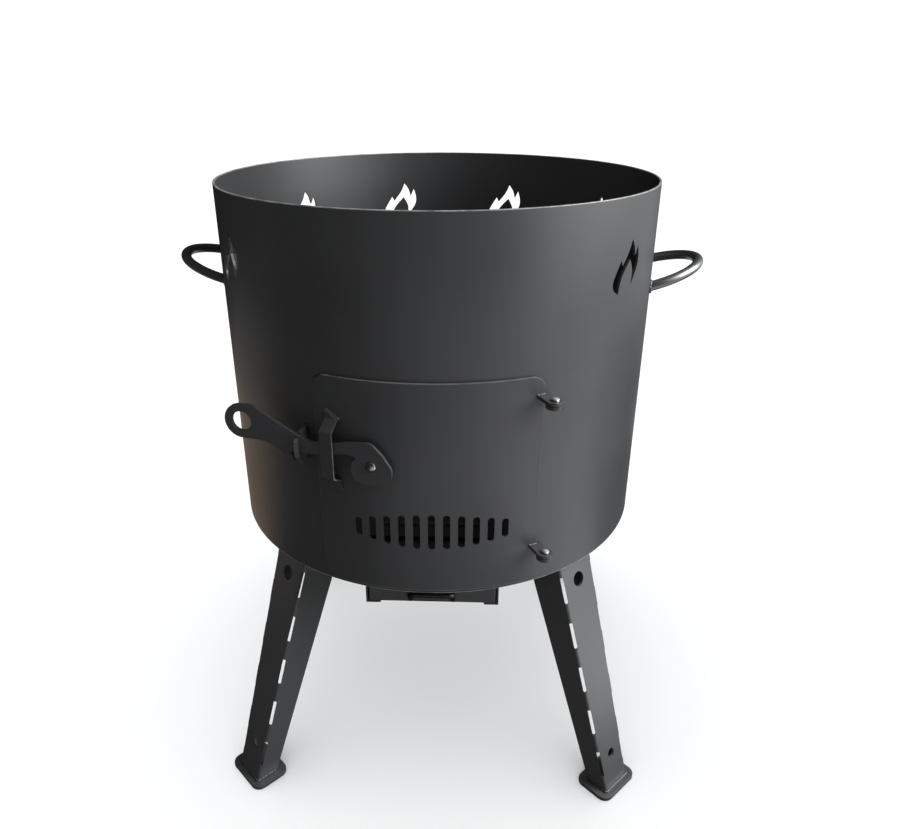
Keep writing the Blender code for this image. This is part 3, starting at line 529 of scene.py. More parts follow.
    @staticmethod
    def block(
        size: Sequence[float], centre: Sequence[float], corner: float = 0.0, steps: int = 5
    ) -> Piece:
        """Block whose four upright edges are rounded.

        Args:
            size: Its whole width, depth and height.
            centre: Its middle.
            corner: Radius of the upright edges, or 0 to leave them.
            steps: Number of steps in each corner.

        Returns:
            A closed piece.
        """
        Bench.clear()
        bpy.ops.mesh.primitive_cube_add(size=1.0, location=tuple(centre), scale=tuple(size))
        piece = Bench.settle(bpy.context.object)
        if corner:
            with Bench.editing(piece):
                Bench.pick(
                    piece, Part.EDGES, lambda e: abs(e.verts[0].co.z - e.verts[1].co.z) > size[2] / 2
                )
                bpy.ops.mesh.bevel(offset=corner, segments=steps, affect="EDGES")
        return piece

    @staticmethod
    def slot(size: Sequence[float], centre: Sequence[float]) -> Piece:
        """Cutter for a slot with round ends, its longer side along X or Y."""
        return Bench.block(size, centre, 0.49 * min(size[:2]), 8)

    @staticmethod
    def sweep(piece: Piece, stops: Sequence[Vector], bend: float, steps: int) -> None:
        """Draw a flat section out along a route that is bent to a radius at each inner stop.

        Args:
            piece: The section, one flat face at the first stop.
            stops: The route's corners, ends included.
            bend: Radius of the route at its inner corners.
            steps: Number of steps in each bend.
        """
        here = stops[0]
        with Bench.editing(piece):
            bpy.ops.mesh.select_all(action="SELECT")
            for before, corner, after in zip(stops, stops[1:], stops[2:]):
                arrive, leave = (corner - before).normalized(), (after - corner).normalized()
                turn = arrive.angle(leave)
                back = bend * math.tan(turn / 2)
                start = corner - arrive * back
                Bench.draw_out(start - here)
                centre = corner + (leave - arrive).normalized() * bend / math.cos(turn / 2)
                bpy.ops.mesh.spin(
                    steps=steps, angle=turn, center=centre, axis=leave.cross(arrive).normalized(),
                    dupli=False, use_auto_merge=False,
                )
                here = corner + leave * back
            Bench.draw_out(stops[-1] - here)
        Bench.close(piece)

    @staticmethod
    def section(radius: float, sides: int, place: Vector, heading: Vector) -> Piece:
        """Round section at a place, square to a heading, as the start of a bar.

        Args:
            radius: Radius of the bar.
            sides: Its number of sides.
            place: Middle of the section.
            heading: Where the bar sets out to.

        Returns:
            The section.
        """
        disc = Bench.ring(radius, sides, 0.0)
        turn = heading.to_track_quat("Z", "Y").to_matrix().to_4x4()
        return Bench.settle(disc, Matrix.Translation(place) @ turn)

    @staticmethod
    def bead(route: Sequence[Vector], radius: float) -> Piece:
        """Weld bead along a route, a row of overlapping drops run together.

        Args:
            route: Middle of the bead, from end to end.
            radius: Radius of the drops.

        Returns:
            A closed piece.
        """
        pitch = radius * 0.85
        spots = [route[0]]
        for here, there in zip(route, route[1:]):
            count = max(1, round((there - here).length / pitch))
            spots += [here.lerp(there, (i + 1) / count) for i in range(count)]
        Bench.clear()
        drops = []
        for number, spot in enumerate(spots):
            swell = 1.0 + 0.12 * math.sin(number * 2.1) + 0.07 * math.sin(number * 5.3)
            bpy.ops.mesh.primitive_uv_sphere_add(
                segments=10, ring_count=6, radius=radius * swell, location=spot
            )
            drops.append(bpy.context.object)
        Bench.clear()
        for drop in drops:
            drop.select_set(True)
        bpy.context.view_layer.objects.active = drops[0]
        bpy.ops.object.join()
        piece = Bench.settle(bpy.context.object)
        piece.data.remesh_voxel_size = radius / 4
        bpy.ops.object.voxel_remesh()
        Bench.apply(piece, "SMOOTH", factor=0.5, iterations=2)
        return piece


class Wiring:
    """Adds and links the nodes of one material or node group."""

    def __init__(self, tree: bpy.types.NodeTree) -> None:
        """Start wiring a tree."""
        self.tree = tree

    def node(self, kind: str, **settings: object) -> bpy.types.Node:
        """Add a node of a kind and give it its properties.

        Args:
            kind: The node's type.
            settings: Its properties by name.

        Returns:
            The node.
        """
        made = self.tree.nodes.new(kind)
        for key, value in settings.items():
            setattr(made, key, value)
        return made

    def feed(self, socket: Socket, value: object) -> None:
        """Link a socket to another, or set its value where that is plain.

        Args:
            socket: The socket.
            value: What it is linked to or set to.
        """
        if isinstance(value, Socket):
            self.tree.links.new(value, socket)
        else:
            socket.default_value = value

    def sum(self, operation: str, first: object, second: object, clamp: bool = False) -> Socket:
        """Result of a Math node on two values.

        Args:
            operation: What the node does.
            first: First value.
            second: Second value.
            clamp: Whether the result is held between 0 and 1.

        Returns:
            The result.
        """
        made = self.node("ShaderNodeMath", operation=operation, use_clamp=clamp)
        self.feed(made.inputs[0], first)
        self.feed(made.inputs[1], second)
        return made.outputs[0]

    def spread(self, value: object, span: Sequence[float], result: Sequence[object]) -> Socket:
        """Map a value from one span to another, held at its ends.

        Args:
            value: The value.
            span: Ends of the span that it comes from.
            result: Ends of the span that it goes to.

        Returns:
            The mapped value.
        """
        made = self.node("ShaderNodeMapRange", clamp=True)
        for socket, entry in zip(made.inputs, (value, *span, *result)):
            self.feed(socket, entry)
        return made.outputs[0]

    def mix(self, share: object, first: object, second: object) -> Socket:
        """Mix of two colours.

        Args:
            share: Share of the second colour.
            first: First colour.
            second: Second colour.

        Returns:
            The mixed colour.
        """
        made = self.node("ShaderNodeMix", data_type="RGBA")
        entries = {"Factor_Float": share, "A_Color": first, "B_Color": second}
        for socket in made.inputs:
            if socket.identifier in entries:
                self.feed(socket, entries[socket.identifier])
        return next(item for item in made.outputs if item.identifier == "Result_Color")

    def noise(self, place: object, scale: object, detail: float = 3.0, rough: float = 0.55) -> Socket:
        """Noise over a place, at a scale in waves a metre.

        Args:
            place: The place.
            scale: The scale.
            detail: Number of finer layers.
            rough: Strength of each finer layer.

        Returns:
            The noise, from 0 to 1.
        """
        made = self.node("ShaderNodeTexNoise", noise_dimensions="3D")
        for name, entry in (("Vector", place), ("Scale", scale), ("Detail", detail), ("Roughness", rough)):
            self.feed(made.inputs[name], entry)
        return made.outputs[0]

    def bump(self, height: Socket, strength: float, rise: float) -> Socket:
        """Normal of a surface raised by a height.

        Args:
            height: The height, from 0 to 1.
            strength: Share of the bump that shows.
            rise: What a height of 1 stands for, in metres.

        Returns:
            The normal.
        """
        made = self.node("ShaderNodeBump")
        for name, entry in (("Strength", strength), ("Distance", rise), ("Height", height)):
            self.feed(made.inputs[name], entry)
        return made.outputs[0]

    def stretched(self, place: object, scale: Sequence[float]) -> Socket:
        """Place scaled by its own share along each axis.

        Args:
            place: The place.
            scale: The share along each axis.

        Returns:
            The scaled place.
        """
        made = self.node("ShaderNodeMapping")
        self.feed(made.inputs["Vector"], place)
        self.feed(made.inputs["Scale"], tuple(scale))
        return made.outputs[0]


class Effect(Enum):
    """The shader node groups that the finishes share."""

    TONE = "painted tone"
    GRAIN = "paint grain"
    # The edge and rim groups lighten edges: partly worn paint, partly painted highlight along the edges.
    WEAR_AND_HIGHLIGHT = "edge wear"
    RIM = "rim wear"
    DUST = "settled dust"
    SCRATCH = "fine scratches"

    def group(self) -> bpy.types.NodeTree:
        """The effect's node group, built the first time it is asked for."""
        return bpy.data.node_groups.get(self.value) or EFFECT_MAKERS[self](self.value)

    def place(self, wiring: Wiring, **entries: object) -> bpy.types.NodeOutputs:
        """Put the effect into a material.

        Args:
            wiring: The material's wiring.
            entries: The group's inputs, by name with _ for a space.

        Returns:
            The group node's outputs.
        """
        made = wiring.node("ShaderNodeGroup", node_tree=self.group())
        for name, entry in entries.items():
            wiring.feed(made.inputs[name.replace("_", " ")], entry)
        return made.outputs


def new_group(
    name: str, inputs: dict[str, float], *outputs: str
) -> tuple[Wiring, bpy.types.NodeInputs, bpy.types.NodeOutputs]:
    """Empty node group that takes a place and some numbers, and gives numbers.

    Args:
        name: Its name.
        inputs: The usual value of each number, by name.
        outputs: Names of the numbers that it gives.

    Returns:
        Its wiring, the sockets to feed for its outputs, and the sockets that give its inputs.
    """
    tree = bpy.data.node_groups.new(name, "ShaderNodeTree")
    tree.interface.new_socket(name="Place", in_out="INPUT", socket_type="NodeSocketVector")
    for label, usual in inputs.items():
        socket = tree.interface.new_socket(name=label, in_out="INPUT", socket_type="NodeSocketFloat")
        socket.default_value = usual
    for label in outputs:
        tree.interface.new_socket(name=label, in_out="OUTPUT", socket_type="NodeSocketFloat")
    wiring = Wiring(tree)
    source = wiring.node("NodeGroupInput")
    target = wiring.node("NodeGroupOutput")
    return wiring, target.inputs, source.outputs


def make_tone(name: str) -> bpy.types.NodeTree:
    """Slow drift of tone over a sprayed sheet, with faint marks of the rolls.

    Args:
        name: Name of the group.

    Returns:
        The node group.
    """
    wiring, ends, starts = new_group(name, {"Cloud": 9.0, "Roll": 0.4}, "Tone")
    cloud = wiring.noise(starts["Place"], starts["Cloud"], 1.5, 0.45)
    bands = wiring.noise(wiring.stretched(starts["Place"], (22.0, 22.0, 1.6)), 1.0, 3.0, 0.6)
    streaks = wiring.noise(wiring.stretched(starts["Place"], (5.0, 5.0, 240.0)), 1.0, 2.0, 0.7)
    rolled = wiring.sum("ADD", wiring.sum("MULTIPLY", bands, 0.6), wiring.sum("MULTIPLY", streaks, 0.4))
    share = wiring.sum("MULTIPLY", wiring.sum("SUBTRACT", rolled, 0.5), starts["Roll"])
    wiring.feed(ends["Tone"], wiring.spread(wiring.sum("ADD", cloud, share), (0.25, 0.75), (0.0, 1.0)))
    return wiring.tree


def make_grain(name: str) -> bpy.types.NodeTree:
    """Fine orange peel of baked paint, with a few coarser specks.

    Args:
        name: Name of the group.

    Returns:
        The node group.
    """
    wiring, ends, starts = new_group(name, {"Size": 1300.0, "Specks": 0.5}, "Height", "Speckle")
    peel = wiring.noise(starts["Place"], starts["Size"], 2.0, 0.5)
    coarse = wiring.noise(starts["Place"], wiring.sum("MULTIPLY", starts["Size"], 0.3), 3.0, 0.65)
    speck = wiring.spread(coarse, (0.60, 0.72), (0.0, 1.0))
    raised = wiring.sum("MULTIPLY", speck, starts["Specks"])
    wiring.feed(ends["Height"], wiring.sum("ADD", peel, raised))
    wiring.feed(ends["Speckle"], raised)
    return wiring.tree


def make_wear_and_highlight(name: str) -> bpy.types.NodeTree:
    """Lighter colour along the sharp edges, broken up by noise: partly paint worn thin, partly painted
    highlight where the edges catch the light.

    Args:
        name: Name of the group.

    Returns:
        The node group.
    """
    wiring, ends, starts = new_group(name, {"Reach": 0.5, "Break": 160.0}, "Mask")
    edge = wiring.node("ShaderNodeNewGeometry").outputs["Pointiness"]
    ridge = wiring.spread(edge, (0.56, 0.70), (0.0, 1.0))
    patch = wiring.spread(wiring.noise(starts["Place"], starts["Break"], 4.0, 0.7), (0.34, 0.60), (0.35, 1.0))
    rubbed_and_highlight = wiring.sum("MULTIPLY", wiring.sum("MULTIPLY", ridge, patch), starts["Reach"], clamp=True)
    wiring.feed(ends["Mask"], rubbed_and_highlight)
    return wiring.tree


def make_rim_wear_and_highlight(name: str) -> bpy.types.NodeTree:
    """Lighter colour along the lower and the upper edge of an upright sheet: partly paint worn through,
    partly painted highlight along the rims.

    Args:
        name: Name of the group.

    Returns:
        The node group.
    """
    wiring, ends, starts = new_group(name, {"Low": 0.0, "High": 1.0, "Width": 0.0009}, "Mask")
    split = wiring.node("ShaderNodeSeparateXYZ")
    wiring.feed(split.inputs[0], starts["Place"])
    height = split.outputs["Z"]
    above = wiring.sum("SUBTRACT", height, starts["Low"])
    below = wiring.sum("SUBTRACT", starts["High"], height)
    near = wiring.sum("DIVIDE", wiring.sum("MINIMUM", above, below), starts["Width"])
    patch = wiring.spread(wiring.noise(starts["Place"], 90.0, 4.0, 0.7), (0.34, 0.60), (0.35, 1.0))
    wiring.feed(ends["Mask"], wiring.sum("MULTIPLY", wiring.spread(near, (0.4, 1.0), (1.0, 0.0)), patch))
    return wiring.tree


def make_dust(name: str) -> bpy.types.NodeTree:
    """Thin dust on the faces that look up.

    Args:
        name: Name of the group.

    Returns:
        The node group.
    """
    wiring, ends, starts = new_group(name, {"Amount": 0.3}, "Mask")
    split = wiring.node("ShaderNodeSeparateXYZ")
    wiring.feed(split.inputs[0], wiring.node("ShaderNodeNewGeometry").outputs["Normal"])
    level = wiring.spread(split.outputs["Z"], (0.35, 0.95), (0.0, 1.0))
    patch = wiring.spread(wiring.noise(starts["Place"], 55.0, 5.0, 0.65), (0.35, 0.7), (0.25, 1.0))
    wiring.feed(ends["Mask"], wiring.sum("MULTIPLY", wiring.sum("MULTIPLY", level, patch), starts["Amount"]))
    return wiring.tree


def make_scratch(name: str) -> bpy.types.NodeTree:
    """Fine scratches that run one way over bare or rubbed metal.

    Args:
        name: Name of the group.

    Returns:
        The node group.
    """
    wiring, ends, starts = new_group(name, {"Amount": 1.0}, "Height")
    first = wiring.noise(wiring.stretched(starts["Place"], (260.0, 2600.0, 900.0)), 1.0, 2.0, 0.5)
    second = wiring.noise(wiring.stretched(starts["Place"], (2200.0, 300.0, 700.0)), 1.0, 2.0, 0.5)
    both = wiring.sum("MAXIMUM", first, second)
    line = wiring.spread(both, (0.5, 0.8), (0.0, 1.0))
    wiring.feed(ends["Height"], wiring.sum("MULTIPLY", line, starts["Amount"]))
    return wiring.tree


EFFECT_MAKERS: dict[Effect, Callable[[str], bpy.types.NodeTree]] = {
    Effect.TONE: make_tone,
    Effect.GRAIN: make_grain,
    Effect.WEAR_AND_HIGHLIGHT: make_wear_and_highlight,
    Effect.RIM: make_rim_wear_and_highlight,
    Effect.DUST: make_dust,
    Effect.SCRATCH: make_scratch,
}


@dataclass(frozen=True)
class Finish:
    """A finish whose material is wired once and shared by its pieces."""

    name: str

    def material(self) -> bpy.types.Material:
        """The finish's material, built the first time it is asked for.

        Returns:
            The material.
        """
        material = bpy.data.materials.get(self.name)
        if material is None:
            material = bpy.data.materials.new(self.name)
            material.use_nodes = True
            wiring = Wiring(material.node_tree)
            place = wiring.node("ShaderNodeTexCoord").outputs["Object"]
            self.wire(wiring, material.node_tree.nodes["Principled BSDF"].inputs, place)
        return material

    def wire(self, wiring: Wiring, shader: bpy.types.NodeInputs, place: Socket) -> None:
        """Wire the finish's own nodes.

        Args:
            wiring: The material's wiring.
            shader: The shader's inputs.
            place: The place on the piece.
        """
        raise NotImplementedError


@dataclass(frozen=True)
class Paint(Finish):
    """Satin heat-proof paint over steel sheet."""

    deep: Colour = (0.0118, 0.0120, 0.0128, 1.0)
    light: Colour = (0.0158, 0.0160, 0.0169, 1.0)
    # Colour of worn edges and coarse specks, also a painted highlight along the edges and rims.
    rubbed_and_highlight: Colour = (0.130, 0.130, 0.128, 1.0)
    dusty: Colour = (0.060, 0.058, 0.055, 1.0)
    rough: Pair = (0.40, 0.48)
    specular: float = 0.38
    roll: float = 0.4
    peel: float = 0.000015
    wear_and_highlight: float = 0.8
    dust: float = 0.08
    rims: Pair | None = None

    def wire(self, wiring: Wiring, shader: bpy.types.NodeInputs, place: Socket) -> None:
        """Wire the paint's tone, dust, worn edges with their painted highlight, and grain.

        Args:
            wiring: The material's wiring.
            shader: The shader's inputs.
            place: The place on the piece.
        """
        tone = Effect.TONE.place(wiring, Place=place, Roll=self.roll)["Tone"]
        grain = Effect.GRAIN.place(wiring, Place=place)
        if self.rims:
            wear_and_highlight = Effect.RIM.place(wiring, Place=place, Low=self.rims[0], High=self.rims[1])["Mask"]
        else:
            wear_and_highlight = Effect.WEAR_AND_HIGHLIGHT.place(wiring, Place=place, Reach=self.wear_and_highlight)["Mask"]
        dust = Effect.DUST.place(wiring, Place=place, Amount=self.dust)["Mask"]
        coat = wiring.mix(tone, self.deep, self.light)
        coat = wiring.mix(wiring.sum("MULTIPLY", grain["Speckle"], 0.06), coat, self.rubbed_and_highlight)
        coat = wiring.mix(dust, coat, self.dusty)
        # Lighter colour at the edges and rims: worn paint, and a painted highlight where the edges catch the
        # light.
        wiring.feed(shader["Base Color"], wiring.mix(wear_and_highlight, coat, self.rubbed_and_highlight))
        rough = wiring.spread(tone, (0.0, 1.0), self.rough)
        rough = wiring.sum("ADD", rough, wiring.sum("MULTIPLY", dust, 0.3))
        rough = wiring.sum("SUBTRACT", rough, wiring.sum("MULTIPLY", wear_and_highlight, 0.1))
        wiring.feed(shader["Roughness"], rough)
        shader["Specular IOR Level"].default_value = self.specular
        wiring.feed(shader["Normal"], wiring.bump(grain["Height"], 0.6, self.peel))


@dataclass(frozen=True)
class BareSteel(Finish):
    """Bright steel of rivets, pins and zinc-plated fasteners."""

    bright: Colour = (0.52, 0.52, 0.51, 1.0)
    dull: Colour = (0.30, 0.295, 0.285, 1.0)
    rough: Pair = (0.22, 0.42)

    def wire(self, wiring: Wiring, shader: bpy.types.NodeInputs, place: Socket) -> None:
        """Wire the steel's tone, worn edges with their painted highlight, and scratches.

        Args:
            wiring: The material's wiring.
            shader: The shader's inputs.
            place: The place on the piece.
        """
        tone = Effect.TONE.place(wiring, Place=place, Cloud=240.0, Roll=0.0)["Tone"]
        # Edges mixed towards the bright colour: worn metal, and a painted highlight.
        wear_and_highlight = Effect.WEAR_AND_HIGHLIGHT.place(wiring, Place=place, Reach=0.6)["Mask"]
        scratch = Effect.SCRATCH.place(wiring, Place=place)["Height"]
        metal = wiring.mix(wear_and_highlight, wiring.mix(tone, self.dull, self.bright), self.bright)
        wiring.feed(shader["Base Color"], metal)
        wiring.feed(shader["Roughness"], wiring.spread(tone, (0.0, 1.0), self.rough[::-1]))
        shader["Metallic"].default_value = 1.0
        wiring.feed(shader["Normal"], wiring.bump(scratch, 0.5, 0.00003))


@dataclass(frozen=True)
class Paper(Finish):
    """Matt pale paper of the studio's floor."""

    tone: float = 0.97
    drift: float = 0.015

    def wire(self, wiring: Wiring, shader: bpy.types.NodeInputs, place: Socket) -> None:
        """Wire the paper's slow drift of tone.

        Args:
            wiring: The material's wiring.
            shader: The shader's inputs.
            place: The place on the piece.
        """
        cloud = wiring.noise(place, 1.3, 2.0, 0.5)
        pale = (self.tone * (1.0 - self.drift),) * 3 + (1.0,)
        paler = (self.tone * (1.0 + self.drift),) * 3 + (1.0,)
        wiring.feed(shader["Base Color"], wiring.mix(cloud, pale, paler))
        shader["Roughness"].default_value = 0.9
        shader["Specular IOR Level"].default_value = 0.1


# The rims of drum and door take another colour: worn paint, and a painted highlight along the rims.
SHELL_PAINT = Paint("drum paint", rims=(LAYOUT.drum_low, LAYOUT.drum_top))
DOOR_PAINT = Paint(
    "door paint", rubbed_and_highlight=(0.055, 0.055, 0.054, 1.0), rims=(LAYOUT.door_low, LAYOUT.door_high)
)
PLATE_PAINT = Paint("plate paint", roll=0.05, wear_and_highlight=0.55)
LEG_PAINT = Paint(
    "leg paint", deep=(0.0180, 0.0182, 0.0190, 1.0), light=(0.0208, 0.0210, 0.0219, 1.0),
    roll=0.15, wear_and_highlight=0.35, rough=(0.37, 0.41), specular=0.6,
)
ROD_PAINT = Paint("rod paint", roll=0.0, wear_and_highlight=0.3, rough=(0.34, 0.40), specular=1.0)
WELD_PAINT = Paint("painted weld", roll=0.0, peel=0.00004, wear_and_highlight=0.15, rough=(0.42, 0.50))
# Darker than the drum's paint: painted shade on the floor plate and the grate deep inside the drum, with some
# real dust.
INNER_SHADED_PAINT = Paint(
    "floor paint", deep=(0.0080, 0.0080, 0.0082, 1.0), light=(0.0120, 0.0118, 0.0116, 1.0),
    rough=(0.55, 0.70), specular=0.22, dust=0.10,
)
PIN_STEEL = BareSteel("pin steel")
WIRE_STEEL = BareSteel(
    "darkened wire", bright=(0.075, 0.075, 0.077, 1.0), dull=(0.038, 0.038, 0.040, 1.0), rough=(0.38, 0.50)
)
ZINC = BareSteel(
    "zinc plate", bright=(0.58, 0.58, 0.56, 1.0), dull=(0.40, 0.40, 0.37, 1.0), rough=(0.30, 0.46)
)
PAPER = Paper("studio paper")


class SubAssembly:
    """A group of pieces that are made, dressed and handed to the frame together."""

    def fit(
        self, piece: Piece, name: str, finish: Finish, carrier: Carrier,
        node: str | None = None, slot: str | None = None,
    ) -> None:
        """Name and dress a finished piece and let it ride on its body.

        Args:
            piece: The piece, in its place.
            name: Its name.
            finish: What it is finished with.
            carrier: The body that it rides on.
            node: The CAD node that it stands for, or None.
            slot: The record's slot of its finish, where it isn't the node's own. Not used.
        """
        piece.name = name
        piece.data.name = name
        piece.data.materials.clear()
        piece.data.materials.append(finish.material())
        Bench.smooth(piece)
        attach(piece, carrier.value)
        if node:
            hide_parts(node)
        LOG.info("%s: %d faces, %s", name, len(piece.data.polygons), finish.name)


@dataclass
class Drum(SubAssembly):
    """Rolled drum with its vents and door opening, its welded floor plate and the loose grate."""

    sides: int = 360
    vent_width: float = 0.0385
    vent_height: float = 0.0425
    vent_drop: float = 0.0344
    vent_places: tuple[int, ...] = (1, 3, 4, 5, 6, 8)
    vent_divisions: int = 10
    vent_turn: float = math.radians(-3.0)
    opening_half_width: float = 0.0823
    opening_low: float = 0.266
    opening_high: float = 0.432
    opening_corner: float = 0.008
    bolt_radius: float = 0.1671
    fire_centre: float = -0.0448
    ash_half_width: float = 0.05198
    ash_half_length: float = 0.085
    grate_overlap: float = 0.013
    grate_thickness: float = 0.004
    grate_slots: int = 9
    grate_slot_width: float = 0.009
    seam_end: float = 0.002
    seam_inset: float = 0.0002
    seam_radius: float = 0.0016
    tacks: int = 8
    tack_turns: tuple[float, ...] = (-3.0, -1.5, 0.0, 1.5, 3.0)
    tack_inset: float = 0.0008
    tack_rise: float = 0.0004
    tack_radius: float = 0.0018

    def build(self) -> None:
        """Make the drum's pieces and hand them over."""
        self.fit(self.wall(), "drum_wall", SHELL_PAINT, Carrier.STAND, "drum_shell")
        self.fit(self.floor(), "floor_plate", INNER_SHADED_PAINT, Carrier.STAND, "drum_floor")
        self.fit(self.grate(), "loose_grate", INNER_SHADED_PAINT, Carrier.GRATE, "fire_grate")
        self.fit(self.seam(), "drum_seam_weld", WELD_PAINT, Carrier.STAND, slot="drum_shell")
        tack = self.tack()
        for number in range(self.tacks):
            weld = Bench.copy(tack, Matrix.Rotation(math.tau * (number + 0.5) / self.tacks, 4, "Z"))
            self.fit(weld, f"floor_tack_weld_{number + 1}", WELD_PAINT, Carrier.STAND, slot="drum_floor")
        Bench.discard(tack)

    def flame(self, mirror: int) -> Piece:
        """Flame-shaped cutter, drawn as a curve with its sharp and its flowing points.

        Args:
            mirror: 1, or -1 for the flame the other way round.

        Returns:
            The cutter, along Z.
        """
        count = len(FLAME)
        sharp = [entry[2] for entry in FLAME]
        spots = [Vector((mirror * x * self.vent_width, y * self.vent_height, 0.0)) for x, y, _ in FLAME]
        Bench.clear()
        bpy.ops.curve.primitive_bezier_curve_add(location=(0.0, 0.0, 0.0))
        cutter = bpy.context.object
        line = cutter.data.splines[0]
        line.bezier_points.add(count - len(line.bezier_points))
        for knot, spot in zip(line.bezier_points, spots):
            knot.handle_left_type = knot.handle_right_type = "FREE"
            knot.co = spot
        for i in range(count):
            j = (i + 1) % count
            before = spots[i] if sharp[i] else spots[i - 1]
            after = spots[j] if sharp[j] else spots[(i + 2) % count]
            line.bezier_points[i].handle_right = spots[i] + (spots[j] - before) / 6
            line.bezier_points[j].handle_left = spots[j] - (after - spots[i]) / 6
        line.use_cyclic_u = True
        line.resolution_u = 6
        cutter.data.dimensions = "2D"
        cutter.data.fill_mode = "BOTH"
        cutter.data.extrude = LAYOUT.overrun
        bpy.ops.object.convert(target="MESH")
        Bench.close(cutter)
        return cutter

    def wall(self) -> Piece:
        """Rolled sheet with its rim eased, its door opening and its vents.

        Returns:
            The wall.
        """
        wall = Bench.tube(LAYOUT.drum_bore, LAYOUT.sheet, LAYOUT.drum_low, LAYOUT.drum_top, self.sides)
        Bench.soften(wall, 0.0005)
        high, low = self.opening_high, self.opening_low
        size = (2 * self.opening_half_width, high - low, 0.06)
        opening = Bench.block(size, (0.0, 0.0, LAYOUT.drum_bore - 0.005), self.opening_corner)
        Bench.cut(wall, Bench.settle(opening, facing(0.0, (high + low) / 2)))
        for place in self.vent_places:
            azimuth = math.tau * (place + 0.5) / self.vent_divisions + self.vent_turn
            flame = self.flame(1 if math.cos(azimuth) > 0 else -1)
            low = LAYOUT.drum_top - self.vent_drop - self.vent_height
            Bench.cut(wall, Bench.settle(flame, facing(azimuth, low, LAYOUT.drum_bore)))
        return wall

    def floor(self) -> Piece:
        """Floor plate with its ash opening and the legs' bolt holes.

        Returns:
            The plate.
        """
        reach = LAYOUT.drum_bore - LAYOUT.gap
        plate = Bench.rod(reach, LAYOUT.floor_under, LAYOUT.floor_top, 180)
        size = (2 * self.ash_half_width, 2 * self.ash_half_length, 0.02)
        Bench.cut(plate, Bench.block(size, (0.0, self.fire_centre, LAYOUT.floor_top), 0.002))
        for corner in Corner:
            spot = around(corner.turn, self.bolt_radius, LAYOUT.floor_top)
            Bench.cut(plate, Bench.drill(LAYOUT.bolt_hole, Matrix.Translation(spot)))
        Bench.soften(plate, 0.0003)
        return plate

    def grate(self) -> Piece:
        """Slotted plate that lies over the ash opening.

        Returns:
            The grate.
        """
        low = LAYOUT.floor_top + LAYOUT.gap
        centre = (0.0, self.fire_centre, low + self.grate_thickness / 2)
        width = 2 * (self.ash_half_width + self.grate_overlap)
        length = 2 * (self.ash_half_length + self.grate_overlap)
        grate = Bench.block((width, length, self.grate_thickness), centre, 0.010, 8)
        pitch = 2 * self.ash_half_length / self.grate_slots
        size = (2 * (self.ash_half_width - 0.004), self.grate_slot_width, 0.02)
        for number in range(self.grate_slots):
            across = self.fire_centre + (number - (self.grate_slots - 1) / 2) * pitch
            Bench.cut(grate, Bench.slot(size, (0.0, across, low)))
        Bench.soften(grate, 0.0006)
        return grate

    def seam(self) -> Piece:
        """Weld where the rolled sheet meets, up the drum's back.

        Returns:
            The weld.
        """
        ends = (LAYOUT.drum_low + self.seam_end, LAYOUT.drum_top - self.seam_end)
        reach = LAYOUT.drum_radius - self.seam_inset
        return Bench.bead([around(math.pi, reach, z) for z in ends], self.seam_radius)

    def tack(self) -> Piece:
        """Short weld between the floor plate and the wall, at azimuth 0.

        Returns:
            The weld.
        """
        reach, height = LAYOUT.drum_bore - self.tack_inset, LAYOUT.floor_top + self.tack_rise
        route = [around(math.radians(a), reach, height) for a in self.tack_turns]
        return Bench.bead(route, self.tack_radius)


@dataclass
class Door(SubAssembly):
    """Curved door that lies over the opening, with its row of air slots."""

    half_width: float = 0.0923
    corner: float = 0.012
    slots: int = 11
    slot_pitch: float = 0.0125
    slot_width: float = 0.006
    slot_low: float = 0.018
    slot_high: float = 0.034
    slot_height: float = 0.309
    slot_turn: float = math.radians(0.8)
    rivet_hole: float = 0.0028

    def build(self) -> None:
        """Make the door and hand it over."""
        self.fit(self.panel(), "door_sheet", DOOR_PAINT, Carrier.DOOR, "door_panel")

    def panel(self) -> Piece:
        """Rolled sheet trimmed to a rectangle with round corners, slotted and drilled.

        Returns:
            The door.
        """
        low, high = LAYOUT.door_low, LAYOUT.door_high
        panel = Bench.tube(
            LAYOUT.door_inner, LAYOUT.sheet, low - LAYOUT.overrun, high + LAYOUT.overrun, 360
        )
        size = (2 * self.half_width, high - low, 0.06)
        trim = Bench.block(size, (0.0, 0.0, LAYOUT.door_outer - 0.015), self.corner, 10)
        Bench.combine(panel, Bench.settle(trim, facing(0.0, (low + high) / 2)), "INTERSECT")
        Bench.soften(panel, 0.0005)
        middle = (self.slots - 1) / 2
        for number in range(self.slots):
            place = number - middle
            swell = math.cos(place / middle * math.pi / 2)
            size = (self.slot_width, self.slot_low + (self.slot_high - self.slot_low) * swell, 0.02)
            azimuth = self.slot_turn + place * self.slot_pitch / LAYOUT.door_outer
            slot = Bench.slot(size, (0.0, 0.0, LAYOUT.door_outer))
            Bench.cut(panel, Bench.settle(slot, facing(azimuth, self.slot_height)))
        place = facing(LAYOUT.latch_turn, LAYOUT.latch_height, LAYOUT.door_outer)
        Bench.cut(panel, Bench.drill(self.rivet_hole, place))
        return panel


